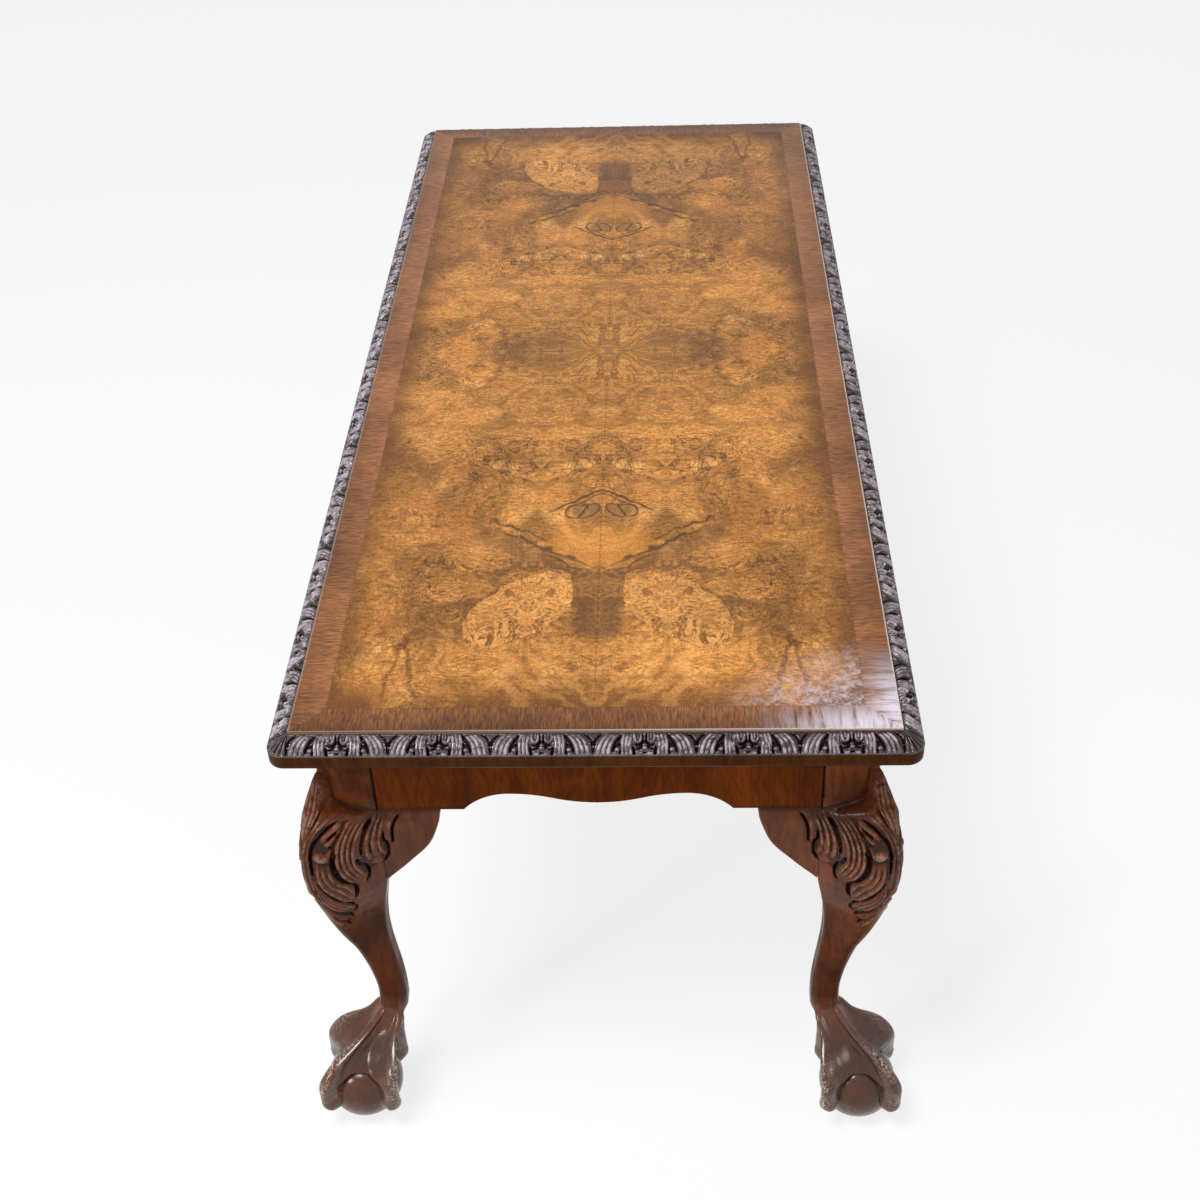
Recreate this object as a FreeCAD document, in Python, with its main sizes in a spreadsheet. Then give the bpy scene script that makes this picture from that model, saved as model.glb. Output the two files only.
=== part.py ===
# Coffee table: quartered burr top in a carved edge moulding, on four cabriole legs
# with ball and claw feet. Long way along Y, +Z up, origin on the floor under the middle.
import FreeCAD, Part
import math
import os
import re
import Sketcher
from FreeCAD import Placement, Rotation, Vector

# Driving sizes in millimetres, one sheet row each.
SIZES = [
    # The whole table.
    ("table_length", 1066.0),
    ("table_width", 460.0),
    ("table_height", 450.0),
    ("side_inset", 26.0),
    ("end_inset", 35.0),
    # The top.
    ("top_thickness", 22.0),
    ("veneer_thickness", 1.2),
    ("backing_thickness", 0.8),
    ("crossband_width", 24.0),
    ("inner_leaf_width", 53.0),
    # The carved edge moulding.
    ("moulding_width", 15.0),
    ("moulding_edge", 12.0),
    ("moulding_crown", 1.8),
    ("field_rise", 2.5),
    ("corner_radius", 12.0),
    ("tongue_thickness", 6.0),
    ("tongue_length", 6.0),
    ("tongue_end_gap", 10.0),
    # The rails.
    ("rail_depth", 76.5),
    ("rail_thickness", 20.0),
    ("face_veneer", 1.0),
    ("arch_rise", 16.0),
    ("arch_middle_rise", 6.5),
    ("arch_shoulder", 34.0),
    ("short_arch_gap", 65.5),
    ("long_arch_gap", 87.5),
    # The tenons in the posts.
    ("tenon_thickness", 9.0),
    ("tenon_length", 18.0),
    ("tenon_setback", 6.0),
    ("tenon_shoulder", 10.0),
    # The legs.
    ("post_side", 38.5),
    ("post_round", 11.0),
    ("post_arris", 0.6),
    ("ball_radius", 32.0),
    ("ankle_height", 104.86),
    ("ball_reach", 4.0),
    ("ball_flat", 2.5),
    ("web_wall", 3.0),
    ("talon_radius", 8.0),
    # The ears beside the knees.
    ("ear_length", 47.5),
    ("ear_height", 78.0),
    ("ear_thickness", 24.0),
    ("ear_proud", 1.5),
    ("ear_belly", 11.0),
    # The corner blocks and their screws.
    ("block_reach", 92.0),
    ("block_height", 30.0),
    ("block_drop", 24.0),
    ("block_post_gap", 3.0),
    ("block_screw_place", 66.0),
    ("block_screw_seat", 38.0),
    # The buttons that hold the top down.
    ("groove_drop", 9.0),
    ("groove_height", 7.0),
    ("groove_depth", 7.0),
    ("button_tongue", 6.0),
    ("button_reach", 6.0),
    ("button_length", 28.0),
    ("button_width", 30.0),
    ("button_rail_gap", 0.5),
    ("button_spacing", 300.0),
    # The wood screws.
    ("screw_shank", 2.0),
    ("screw_head", 4.0),
    ("screw_head_height", 2.6),
    ("screw_bite", 12.0),
    # Clearances and the extra length of a cut.
    ("joint_gap", 0.15),
    ("end_gap", 0.6),
    ("head_gap", 1.0),
    ("overrun", 5.0),
]

# Places worked out from the sizes above, each written once.
PLACES = {
    "half_length": "table_length / 2",
    "half_width": "table_width / 2",
    "top_under": "table_height - top_thickness",
    "veneer_under": "table_height - veneer_thickness",
    "core_under": "top_under + backing_thickness",
    "field_half_length": "half_length - moulding_width",
    "field_half_width": "half_width - moulding_width",
    "burr_half_length": "field_half_length - crossband_width",
    "burr_half_width": "field_half_width - crossband_width",
    "moulding_top": "table_height - field_rise",
    "moulding_lip": "top_under + moulding_edge",
    "moulding_fall": "moulding_top - moulding_lip",
    "slope_square": "moulding_width ^ 2 + moulding_fall ^ 2",
    "crown_radius": "slope_square / (8 * moulding_crown) + moulding_crown / 2",
    "tongue_under": "top_under + (moulding_edge - tongue_thickness) / 2",
    "post_face_x": "half_width - side_inset",
    "post_face_y": "half_length - end_inset",
    "short_span": "post_face_x - post_side",
    "long_span": "post_face_y - post_side",
    "short_arch_foot": "short_span - short_arch_gap",
    "long_arch_foot": "long_span - long_arch_gap",
    "rail_bottom": "top_under - rail_depth",
    "arch_top": "rail_bottom + arch_rise",
    "arch_turn": "arch_top - (arch_rise - arch_middle_rise) / 2",
    "groove_under": "top_under - groove_drop - groove_height",
    "tenon_bottom": "rail_bottom + tenon_shoulder",
    "tenon_top": "top_under - tenon_shoulder",
    "block_under": "top_under - block_drop - block_height",
    "block_middle": "block_under + block_height / 2",
    "block_post": "post_side + block_post_gap",
    "screw_hole": "screw_shank + joint_gap",
    "head_hole": "screw_head + head_gap",
    "button_screw_place": "rail_thickness + button_length / 2",
    "button_screw_top": "top_under + screw_bite",
    "ball_height": "ball_radius - ball_flat",
    "ear_foot": "rail_bottom - ear_height",
    "ear_square": "ear_length ^ 2 + ear_height ^ 2",
    "ear_radius": "ear_square / (8 * ear_belly) + ear_belly / 2",
}

# The four sides: turn about Z, distance of the rail face and of the top's edge from the
# middle, half the rail between its posts, half the top along that side, how far from the
# middle the rail's arch ends, and the places of the buttons.
SIDES = {
    "front": (0, "post_face_y", "short_span", "half_length", "half_width",
              "short_arch_foot", ["0"]),
    "right": (90, "post_face_x", "long_span", "half_width", "half_length",
              "long_arch_foot", ["-button_spacing", "0", "button_spacing"]),
    "back": (180, "post_face_y", "short_span", "half_length", "half_width",
             "short_arch_foot", ["0"]),
    "left": (270, "post_face_x", "long_span", "half_width", "half_length",
             "long_arch_foot", ["-button_spacing", "0", "button_spacing"]),
}

# The four corners: turn about Z that brings the leg made for +X +Y there, and its signs.
CORNERS = {
    "back_right": (0, 1, 1),
    "back_left": (90, -1, 1),
    "front_left": (180, -1, -1),
    "front_right": (270, 1, -1),
}

# Cross-sections of the knee and shaft. Columns: height as a share of the way from the ankle
# up to the top, then as shares of the post's side: inner face, ridge, shoulder, round of the
# ridge, round of the shoulders and of the heel. Places are measured outwards from the post's
# outer faces. Beside the ears the inner face runs past the post and is planed flush with it.
SHAFT_SHARES = [
    (0.9139, -1.020, 0.000, 0.000, 0.29, 0.02, 0.02),
    (0.8675, -1.020, 0.100, 0.010, 0.31, 0.02, 0.02),
    (0.8079, -1.020, 0.282, 0.030, 0.33, 0.03, 0.02),
    (0.7351, -1.020, 0.457, 0.055, 0.35, 0.04, 0.02),
    (0.6623, -1.020, 0.564, 0.065, 0.36, 0.05, 0.03),
    (0.5894, -1.020, 0.593, 0.050, 0.35, 0.06, 0.04),
    (0.5232, -0.985, 0.540, 0.010, 0.33, 0.08, 0.07),
    (0.4570, -0.895, 0.426, -0.050, 0.30, 0.11, 0.10),
    (0.3907, -0.800, 0.295, -0.110, 0.27, 0.14, 0.13),
    (0.3245, -0.755, 0.151, -0.165, 0.25, 0.16, 0.15),
    (0.2556, -0.765, -0.020, -0.205, 0.23, 0.18, 0.17),
    (0.1868, -0.810, -0.141, -0.235, 0.22, 0.19, 0.18),
    (0.1179, -0.862, -0.232, -0.255, 0.22, 0.21, 0.20),
    (0.0517, -0.895, -0.282, -0.285, 0.22, 0.22, 0.22),
    (0.0000, -0.900, -0.275, -0.275, 0.22, 0.22, 0.22),
]

# Sections drawn between two rows of the table, so that the leg runs smoothly.
SECTIONS_PER_ROW = 3

# Cross-sections of the web over the ball. Columns: height as a share of the way from the
# ball's middle up to the ankle, how far the middle has moved from the ankle to the ball, and
# half the width as a share of the ball's radius with its web.
WEB_SHARES = [
    (0.861, 0.14, 0.39),
    (0.736, 0.38, 0.47),
    (0.603, 0.62, 0.58),
    (0.478, 0.82, 0.70),
    (0.360, 0.93, 0.80),
    (0.243, 1.00, 0.88),
]
WEB_ROUND_SHARE = 0.45

# Rings of a talon, from the ankle down to the claw. Columns: height and middle as for the
# web, the ring's distance from that middle as a share of the ball's radius, and its own
# radius as a share of the talon's.
TALON_SHARES = [
    (0.910, 0.10, 0.40, 0.50),
    (0.776, 0.32, 0.66, 0.66),
    (0.617, 0.60, 0.95, 0.80),
    (0.458, 0.84, 1.14, 0.92),
    (0.325, 0.96, 1.17, 0.92),
    (0.190, 1.00, 1.20, 0.96),
    (0.060, 1.00, 1.23, 1.02),
    (-0.045, 1.00, 1.20, 0.90),
    (-0.115, 1.00, 1.13, 0.56),
    (-0.145, 1.00, 1.07, 0.16),
]

# Azimuths of the four talons about the ball, in degrees.
TALON_AZIMUTHS = [45, 135, 225, 315]

document = FreeCAD.newDocument("CoffeeTable")
sheet = document.addObject("Spreadsheet::Sheet", "Sizes")
nodes = []


def fill_sheet():
    for row, (alias, size) in enumerate(SIZES, start=1):
        sheet.set("A%d" % row, alias)
        sheet.set("B%d" % row, str(size))
        sheet.setAlias("B%d" % row, alias)
    document.recompute()


def bind(text):
    """Spell out an expression so that each word in it names a cell of the sheet."""
    aliases = {alias for alias, size in SIZES}

    def spell(match):
        word = match.group(0)
        if word in PLACES:
            return "(" + bind(PLACES[word]) + ")"
        if word in aliases:
            return "Sizes." + word
        return word

    return re.sub(r"[a-z_]+", spell, text)


def value(text):
    return float(sheet.evalExpression(bind(text)))


def new_body(name, turn=0, place=("0", "0")):
    """A body turned about Z, with its origin at a place in plan."""
    body = document.addObject("PartDesign::Body", name)
    body.Label = name
    body.Placement = Placement(Vector(), Rotation(Vector(0, 0, 1), turn))
    body.setExpression("Placement.Base.x", bind(place[0]))
    body.setExpression("Placement.Base.y", bind(place[1]))
    nodes.append(body)
    return body


def new_sketch(body, name, role, offset):
    """A sketch on one of the body's own planes, moved along the plane's normal."""
    sketch = body.newObject("Sketcher::SketchObject", name)
    planes = [plane for plane in body.Origin.OriginFeatures if plane.Role == role]
    sketch.AttachmentSupport = [(planes[0], "")]
    sketch.MapMode = "FlatFace"
    sketch.setExpression("AttachmentOffset.Base.z", bind(offset))
    return sketch


def tie(sketch, kind, word, anchor, text):
    """A named constraint whose size follows the sheet."""
    index = sketch.addConstraint(Sketcher.Constraint(kind, *anchor, value(text)))
    sketch.renameConstraint(index, word)
    sketch.setExpression("Constraints." + word, bind(text))


def draw_arc(sketch, start, end, radius, side):
    """An arc of less than half a circle that bulges left (1) or right (-1) of its way."""
    chord = end - start
    middle = (start + end) / 2
    left = Vector(-chord.y, chord.x, 0).normalize()
    depth = math.sqrt(max(radius ** 2 - chord.Length ** 2 / 4, 0))
    centre = middle - left * depth * side
    first, last = (end, start) if side > 0 else (start, end)
    angles = [math.atan2(point.y - centre.y, point.x - centre.x) for point in (first, last)]
    circle = Part.Circle(centre, Vector(0, 0, 1), radius)
    return sketch.addGeometry(Part.ArcOfCircle(circle, angles[0], angles[1]), False)


def draw_loop(sketch, loop, label):
    """A closed outline. Each entry is a corner, with a radius and a side where the edge
    that leads to it is an arc."""
    points = [Vector(value(entry[0]), value(entry[1]), 0) for entry in loop]
    ends = []
    for index, entry in enumerate(loop):
        start = points[index - 1]
        end = points[index]
        if len(entry) == 4:
            edge = draw_arc(sketch, start, end, value(entry[2]), entry[3])
            tie(sketch, "Radius", "%s_radius_%d" % (label, index), (edge,), entry[2])
            ends.append((edge, 1, 2) if entry[3] < 0 else (edge, 2, 1))
        else:
            edge = sketch.addGeometry(Part.LineSegment(start, end), False)
            ends.append((edge, 1, 2))
    for index, entry in enumerate(loop):
        edge, start, end = ends[index]
        follower = ends[(index + 1) % len(loop)]
        sketch.addConstraint(Sketcher.Constraint("Coincident", edge, end, follower[0], follower[1]))
        tie(sketch, "DistanceX", "%s_x_%d" % (label, index), (-1, 1, edge, end), entry[0])
        tie(sketch, "DistanceY", "%s_y_%d" % (label, index), (-1, 1, edge, end), entry[1])


def draw_circle(sketch, circle, label):
    across, along, radius = circle
    shape = Part.Circle(Vector(value(across), value(along), 0), Vector(0, 0, 1), value(radius))
    edge = sketch.addGeometry(shape, False)
    tie(sketch, "DistanceX", label + "_x", (-1, 1, edge, 3), across)
    tie(sketch, "DistanceY", label + "_y", (-1, 1, edge, 3), along)
    tie(sketch, "Radius", label + "_radius", (edge,), radius)


def add_step(body, kind, name, role, offset, depth, loops=(), circles=(), way=1, both=False):
    """A pad or a pocket from one sketch. The way is 1 along the sketch's normal, -1 against."""
    sketch = new_sketch(body, body.Label + "_" + name + "_outline", role, offset)
    for index, loop in enumerate(loops):
        draw_loop(sketch, loop, "loop_%s" % "abcdefgh"[index])
    for index, circle in enumerate(circles):
        draw_circle(sketch, circle, "hole_%d" % index)
    step = body.newObject("PartDesign::" + kind, body.Label + "_" + name)
    step.Profile = sketch
    step.setExpression("Length", bind(depth))
    step.SideType = "Symmetric" if both else "One side"
    step.Reversed = (way < 0) if kind == "Pad" else (way > 0)
    return step


def rectangle(left, bottom, right, top):
    return [(left, bottom), (right, bottom), (right, top), (left, top)]


def side_screw_points():
    """Where the button screws stand in plan, as signed places from the middle."""
    points = []
    for side, facts in SIDES.items():
        turn, face, places = facts[0], facts[1], facts[6]
        reach = "%s - button_screw_place" % face
        for along in places:
            across = {
                0: (along, "-(%s)" % reach),
                90: (reach, along),
                180: ("-(%s)" % along, reach),
                270: ("-(%s)" % reach, "-(%s)" % along),
            }[turn]
            points.append(across)
    return points


def make_top_core():
    """The solid ground that carries the veneers, grooved all round for the moulding."""
    body = new_body("top_core")
    add_step(body, "Pad", "board", "XY_Plane", "core_under", "veneer_under - core_under",
             loops=[rectangle("-field_half_width", "-field_half_length",
                              "field_half_width", "field_half_length")])
    inner_x = "field_half_width - tongue_length - end_gap"
    inner_y = "field_half_length - tongue_length - end_gap"
    add_step(body, "Pocket", "groove", "XY_Plane", "tongue_under - joint_gap",
             "tongue_thickness + 2 * joint_gap",
             loops=[rectangle("-field_half_width - overrun", "-field_half_length - overrun",
                              "field_half_width + overrun", "field_half_length + overrun"),
                    rectangle("-(%s)" % inner_x, "-(%s)" % inner_y, inner_x, inner_y)])
    circles = [(across, along, "screw_hole") for across, along in side_screw_points()]
    add_step(body, "Pocket", "screw_holes", "XY_Plane", "core_under",
             "screw_bite - backing_thickness + end_gap", circles=circles)


def make_backing_veneer():
    """The plain veneer under the core that keeps the board flat."""
    body = new_body("backing_veneer")
    circles = [(across, along, "screw_hole") for across, along in side_screw_points()]
    add_step(body, "Pad", "sheet", "XY_Plane", "top_under", "backing_thickness",
             loops=[rectangle("-field_half_width", "-field_half_length",
                              "field_half_width", "field_half_length")], circles=circles)


def make_burr_leaf(name, low_x, wide, low_y):
    """One leaf of the quartered burr veneer."""
    leaf = document.addObject("Part::Box", name)
    leaf.Label = name
    leaf.setExpression("Length", bind(wide))
    leaf.setExpression("Width", bind("burr_half_length"))
    leaf.setExpression("Height", bind("veneer_thickness"))
    leaf.setExpression("Placement.Base.x", bind(low_x))
    leaf.setExpression("Placement.Base.y", bind(low_y))
    leaf.setExpression("Placement.Base.z", bind("veneer_under"))
    nodes.append(leaf)


def make_burr_leaves():
    outer_wide = "burr_half_width - inner_leaf_width"
    columns = {
        "outer_left": ("-burr_half_width", outer_wide),
        "inner_left": ("-inner_leaf_width", "inner_leaf_width"),
        "inner_right": ("0", "inner_leaf_width"),
        "outer_right": ("inner_leaf_width", outer_wide),
    }
    for end, low_y in (("front", "-burr_half_length"), ("back", "0")):
        for column, (low_x, wide) in columns.items():
            make_burr_leaf("burr_leaf_%s_%s" % (end, column), low_x, wide, low_y)


def make_crossband(side, turn, edge, run):
    """A strip of cross-grained veneer with mitred ends."""
    body = new_body("crossband_" + side, turn)
    outer = "-(%s - moulding_width)" % edge
    inner = "%s + crossband_width" % outer
    half = "(%s - moulding_width)" % run
    short_half = "(%s - crossband_width)" % half
    add_step(body, "Pad", "strip", "XY_Plane", "veneer_under", "veneer_thickness",
             loops=[[("-" + half, outer), (half, outer), (short_half, inner), ("-" + short_half, inner)]])


def make_moulding(side, turn, edge, run):
    """One length of the edge moulding: mitred, rounded at the corners, with a crowned slope
    above a square edge and a tongue that enters the core."""
    body = new_body("edge_moulding_" + side, turn)
    inner = "-(%s - moulding_width)" % edge
    inner_half = "(%s - moulding_width)" % run
    rounding = "corner_radius * (1 - cos(45))"
    mitre_half = "(%s - %s)" % (run, rounding)
    mitre_out = "-(%s - %s)" % (edge, rounding)
    straight_half = "(%s - corner_radius)" % run
    outline = [
        (inner_half, inner),
        (mitre_half, mitre_out),
        (straight_half, "-(%s)" % edge, "corner_radius", 1),
        ("-" + straight_half, "-(%s)" % edge),
        ("-" + mitre_half, mitre_out, "corner_radius", 1),
        ("-" + inner_half, inner),
    ]
    add_step(body, "Pad", "strip", "XY_Plane", "top_under", "moulding_top - top_under", loops=[outline])
    slope = [
        (inner, "moulding_top + overrun"),
        (inner, "moulding_top"),
        ("-(%s)" % edge, "moulding_lip", "crown_radius", -1),
        ("-(%s) - overrun" % edge, "moulding_lip"),
        ("-(%s) - overrun" % edge, "moulding_top + overrun"),
    ]
    add_step(body, "Pocket", "slope", "YZ_Plane", "0", "2 * (%s + overrun)" % run, loops=[slope], both=True)
    tongue_half = "(%s - tongue_end_gap)" % inner_half
    add_step(body, "Pad", "tongue", "XY_Plane", "tongue_under", "tongue_thickness",
             loops=[rectangle("-" + tongue_half, inner, tongue_half, inner + " + tongue_length")])


def rail_outline(span, foot):
    """The rail seen from outside: straight by the posts, two arches and a dropped middle."""
    peak = "(%s - arch_shoulder)" % foot
    dip = "(%s / 2)" % peak
    shoulder_radius = "(arch_shoulder ^ 2 + arch_rise ^ 2) / (2 * arch_rise)"
    fall = "((arch_rise - arch_middle_rise) / 2)"
    fall_run = "(%s - %s)" % (peak, dip)
    fall_radius = "(%s ^ 2 + %s ^ 2) / (2 * %s)" % (fall_run, fall, fall)
    dip_radius = "(%s ^ 2 + %s ^ 2) / (2 * %s)" % (dip, fall, fall)
    return [
        ("-" + span, "rail_bottom"),
        ("-" + foot, "rail_bottom"),
        ("-" + peak, "arch_top", shoulder_radius, 1),
        ("-" + dip, "arch_turn", fall_radius, 1),
        (dip, "arch_turn", dip_radius, -1),
        (peak, "arch_top", fall_radius, 1),
        (foot, "rail_bottom", shoulder_radius, 1),
        (span, "rail_bottom"),
        (span, "top_under"),
        ("-" + span, "top_under"),
    ]


def make_rail(side, turn, face, span, foot):
    """A rail between two posts, with its tenons, the groove for the buttons and the holes
    that take the corner blocks' screws."""
    body = new_body(side + "_rail", turn)
    outline = rail_outline(span, foot)
    add_step(body, "Pad", "board", "XZ_Plane", face + " - face_veneer", "rail_thickness - face_veneer",
             loops=[outline], way=-1)
    tenons = [
        rectangle("-(%s + tenon_length)" % span, "tenon_bottom", "-" + span, "tenon_top"),
        rectangle(span, "tenon_bottom", "%s + tenon_length" % span, "tenon_top"),
    ]
    add_step(body, "Pad", "tenons", "XZ_Plane", face + " - tenon_setback", "tenon_thickness",
             loops=tenons, way=-1)
    inside = face + " - rail_thickness"
    add_step(body, "Pocket", "groove", "XZ_Plane", inside, "groove_depth",
             loops=[rectangle("-" + span, "groove_under", span, "groove_under + groove_height")])
    place = "(%s + post_side - block_screw_place)" % span
    circles = [(sign + place, "block_middle", "screw_hole") for sign in ("-", "")]
    add_step(body, "Pocket", "screw_holes", "XZ_Plane", inside, "screw_bite + end_gap", circles=circles)


def make_rail_veneer(side, turn, face, span, foot):
    body = new_body(side + "_rail_veneer", turn)
    add_step(body, "Pad", "sheet", "XZ_Plane", face, "face_veneer",
             loops=[rail_outline(span, foot)], way=-1)


def make_ear(side, turn, face, span, end, sign):
    """A shaped wing that carries the curve of the knee on to the rail."""
    body = new_body("ear_%s_%s" % (side, end), turn)
    outline = [
        (sign + span, "rail_bottom"),
        ("%s(%s - ear_length)" % (sign, span), "rail_bottom"),
        (sign + span, "ear_foot", "ear_radius", 1 if sign == "-" else -1),
    ]
    add_step(body, "Pad", "wing", "XZ_Plane", face + " + ear_proud", "ear_thickness",
             loops=[outline], way=-1)


def make_button(name, turn, face, along):
    """A wooden button: its tongue lies in the rail's groove and its block is screwed up
    under the top, so that the top can shrink and swell."""
    body = new_body(name, turn)
    inside = "-(%s - rail_thickness)" % face
    outline = [
        (inside + " - button_reach", "groove_under"),
        (inside + " + button_length", "groove_under"),
        (inside + " + button_length", "top_under"),
        (inside + " + button_rail_gap", "top_under"),
        (inside + " + button_rail_gap", "groove_under + button_tongue"),
        (inside + " - button_reach", "groove_under + button_tongue"),
    ]
    add_step(body, "Pad", "block", "YZ_Plane", "%s - button_width / 2" % along, "button_width",
             loops=[outline])
    add_step(body, "Pocket", "hole", "XY_Plane", "groove_under", "top_under - groove_under",
             circles=[(along, "-(%s - button_screw_place)" % face, "screw_hole")])


def make_corner_block(corner, turn, sign_x, sign_y):
    """A block glued and screwed across the inside of a corner, cut away round the post."""
    body = new_body("corner_block_" + corner, turn, ("%d * post_face_x" % sign_x, "%d * post_face_y" % sign_y))
    outline = [
        ("-rail_thickness", "-block_post"),
        ("-block_post", "-block_post"),
        ("-block_post", "-rail_thickness"),
        ("-block_reach", "-rail_thickness"),
        ("-rail_thickness", "-block_reach"),
    ]
    add_step(body, "Pad", "wedge", "XY_Plane", "block_under", "block_height", loops=[outline])
    shank = "block_screw_seat - rail_thickness"
    bore = "block_reach - block_screw_seat"
    for name, role, across, way in (("side", "YZ_Plane", "-block_screw_place", -1),
                                    ("end", "XZ_Plane", "-block_screw_place", 1)):
        seat = "-block_screw_seat" if role == "YZ_Plane" else "block_screw_seat"
        add_step(body, "Pocket", name + "_shank", role, seat, shank,
                 circles=[(across, "block_middle", "screw_hole")], way=-way)
        add_step(body, "Pocket", name + "_seat", role, seat, bore,
                 circles=[(across, "block_middle", "head_hole")], way=way)


def make_screw(start, direction, length):
    """A round-headed wood screw whose head's seat is at the start."""
    shank = Part.makeCylinder(value("screw_shank"), length, start, direction)
    head_foot = start - direction * value("screw_head_height")
    head = Part.makeCone(value("screw_shank"), value("screw_head"), value("screw_head_height"),
                         head_foot, direction)
    return head.fuse(shank).removeSplitter()


def add_feature(name, shape, place=Placement()):
    feature = document.addObject("Part::Feature", name)
    feature.Label = name
    feature.Shape = shape
    feature.Placement = place
    nodes.append(feature)


def corner_placement(turn, sign_x, sign_y):
    spot = Vector(sign_x * value("post_face_x"), sign_y * value("post_face_y"), 0)
    return Placement(spot, Rotation(Vector(0, 0, 1), turn))


def make_block_screws():
    """Two screws in each corner block, one into each rail."""
    seat = -value("block_screw_seat")
    place = -value("block_screw_place")
    height = value("block_middle")
    length = value("block_screw_seat - rail_thickness + screw_bite")
    screws = []
    for turn, sign_x, sign_y in CORNERS.values():
        for start, direction in ((Vector(seat, place, height), Vector(1, 0, 0)),
                                 (Vector(place, seat, height), Vector(0, 1, 0))):
            screw = make_screw(start, direction, length)
            screws.append(screw.transformed(corner_placement(turn, sign_x, sign_y).toMatrix()))
    add_feature("corner_block_screws", Part.makeCompound(screws))


def make_button_screws():
    seat = value("groove_under")
    length = value("button_screw_top") - seat
    screws = [make_screw(Vector(value(across), value(along), seat), Vector(0, 0, 1), length)
              for across, along in side_screw_points()]
    add_feature("button_screws", Part.makeCompound(screws))


def rounded_section(circles, height):
    """The wire that wraps a ring of circles, given as (x, y, radius) in turning order."""
    lines = []
    for index, (start_x, start_y, start_radius) in enumerate(circles):
        end_x, end_y, end_radius = circles[(index + 1) % len(circles)]
        reach = math.hypot(end_x - start_x, end_y - start_y)
        heading = math.atan2(end_y - start_y, end_x - start_x)
        normal = heading - math.acos((start_radius - end_radius) / reach)
        across = Vector(math.cos(normal), math.sin(normal), 0)
        lines.append((Vector(start_x, start_y, height) + across * start_radius,
                      Vector(end_x, end_y, height) + across * end_radius))
    edges = []
    for index, (start, end) in enumerate(lines):
        edges.append(Part.LineSegment(start, end).toShape())
        next_start = lines[(index + 1) % len(lines)][0]
        x, y, radius = circles[(index + 1) % len(circles)]
        centre = Vector(x, y, height)
        bisector = ((end - centre) + (next_start - centre)).normalize()
        edges.append(Part.Arc(end, centre + bisector * radius, next_start).toShape())
    return Part.Wire(edges)


def shaft_section(inner, ridge, shoulder, ridge_round, shoulder_round, heel_round, height):
    """A section that is alike about the leg's diagonal: heel, two shoulders and a ridge."""
    near = inner + shoulder_round
    far = shoulder - shoulder_round
    return rounded_section([
        (inner + heel_round, inner + heel_round, heel_round),
        (far, near, shoulder_round),
        (ridge - ridge_round, ridge - ridge_round, ridge_round),
        (near, far, shoulder_round),
    ], height)


def curve_through(before, start, end, after, part):
    """A cubic from start to end whose slopes follow the neighbours on either side."""
    slope = (end - before) / 2
    next_slope = (after - start) / 2
    bend = 3 * (end - start) - 2 * slope - next_slope
    twist = slope + next_slope - 2 * (end - start)
    return start + part * (slope + part * (bend + part * twist))


def blend_rows(rows, steps):
    """More rows between the given ones, each column on a smooth curve through them."""
    last = len(rows) - 1
    blended = []
    for index in range(last):
        before, start, end, after = [rows[min(max(index + step, 0), last)] for step in (-1, 0, 1, 2)]
        for step in range(steps):
            part = step / steps
            blended.append([curve_through(*four, part) for four in zip(before, start, end, after)])
    blended.append(list(rows[last]))
    return blended


def shaft_height(share):
    """The height of a place that is a share of the way from the ankle up to the top."""
    return value("ankle_height") + share * value("top_under - ankle_height")


def shaft_wires():
    side = value("post_side")
    wires = []
    for row in blend_rows(SHAFT_SHARES, SECTIONS_PER_ROW):
        wires.append(shaft_section(*[share * side for share in row[1:]], shaft_height(row[0])))
    return wires


def foot_place(height_share, travel_share):
    """The middle and the height of a ring that lies between the ball's middle and the ankle."""
    ankle = SHAFT_SHARES[-1]
    ankle_middle = (ankle[1] + ankle[2]) / 2 * value("post_side")
    middle = ankle_middle + (value("ball_reach") - ankle_middle) * travel_share
    return middle, value("ball_height") + value("ankle_height - ball_height") * height_share


def web_wires():
    """The foot's sections, from below the ankle to the web's edge on the ball."""
    girth = value("ball_radius + web_wall")
    wires = []
    for height_share, travel_share, half_share in WEB_SHARES:
        middle, height = foot_place(height_share, travel_share)
        half = half_share * girth
        turn = half * WEB_ROUND_SHARE
        low = middle - half
        high = middle + half
        wires.append(shaft_section(low, high, high, turn, turn, turn, height))
    return wires


def make_talon(azimuth):
    """A talon that grips the ball, tapered through level rings."""
    across = math.cos(math.radians(azimuth))
    along = math.sin(math.radians(azimuth))
    wires = []
    for height_share, travel_share, distance_share, radius_share in TALON_SHARES:
        middle, height = foot_place(height_share, travel_share)
        distance = distance_share * value("ball_radius")
        spot = Vector(middle + across * distance, middle + along * distance, height)
        ring = Part.Circle(spot, Vector(0, 0, 1), radius_share * value("talon_radius"))
        wires.append(Part.Wire([ring.toShape()]))
    return Part.makeLoft(wires, True)


def make_mortise(turned):
    """A box for one tenon; the turned one takes the rail on the leg's other side."""
    gap = value("joint_gap")
    side = value("post_side")
    long = value("tenon_length + end_gap + overrun")
    wide = value("tenon_thickness") + 2 * gap
    tall = value("tenon_top - tenon_bottom") + 2 * gap
    low = value("tenon_bottom") - gap
    start = -side - value("overrun")
    across = -value("tenon_setback + tenon_thickness") - gap
    if turned:
        return Part.makeBox(wide, long, tall, Vector(across, start, low))
    return Part.makeBox(long, wide, tall, Vector(start, across, low))


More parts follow.
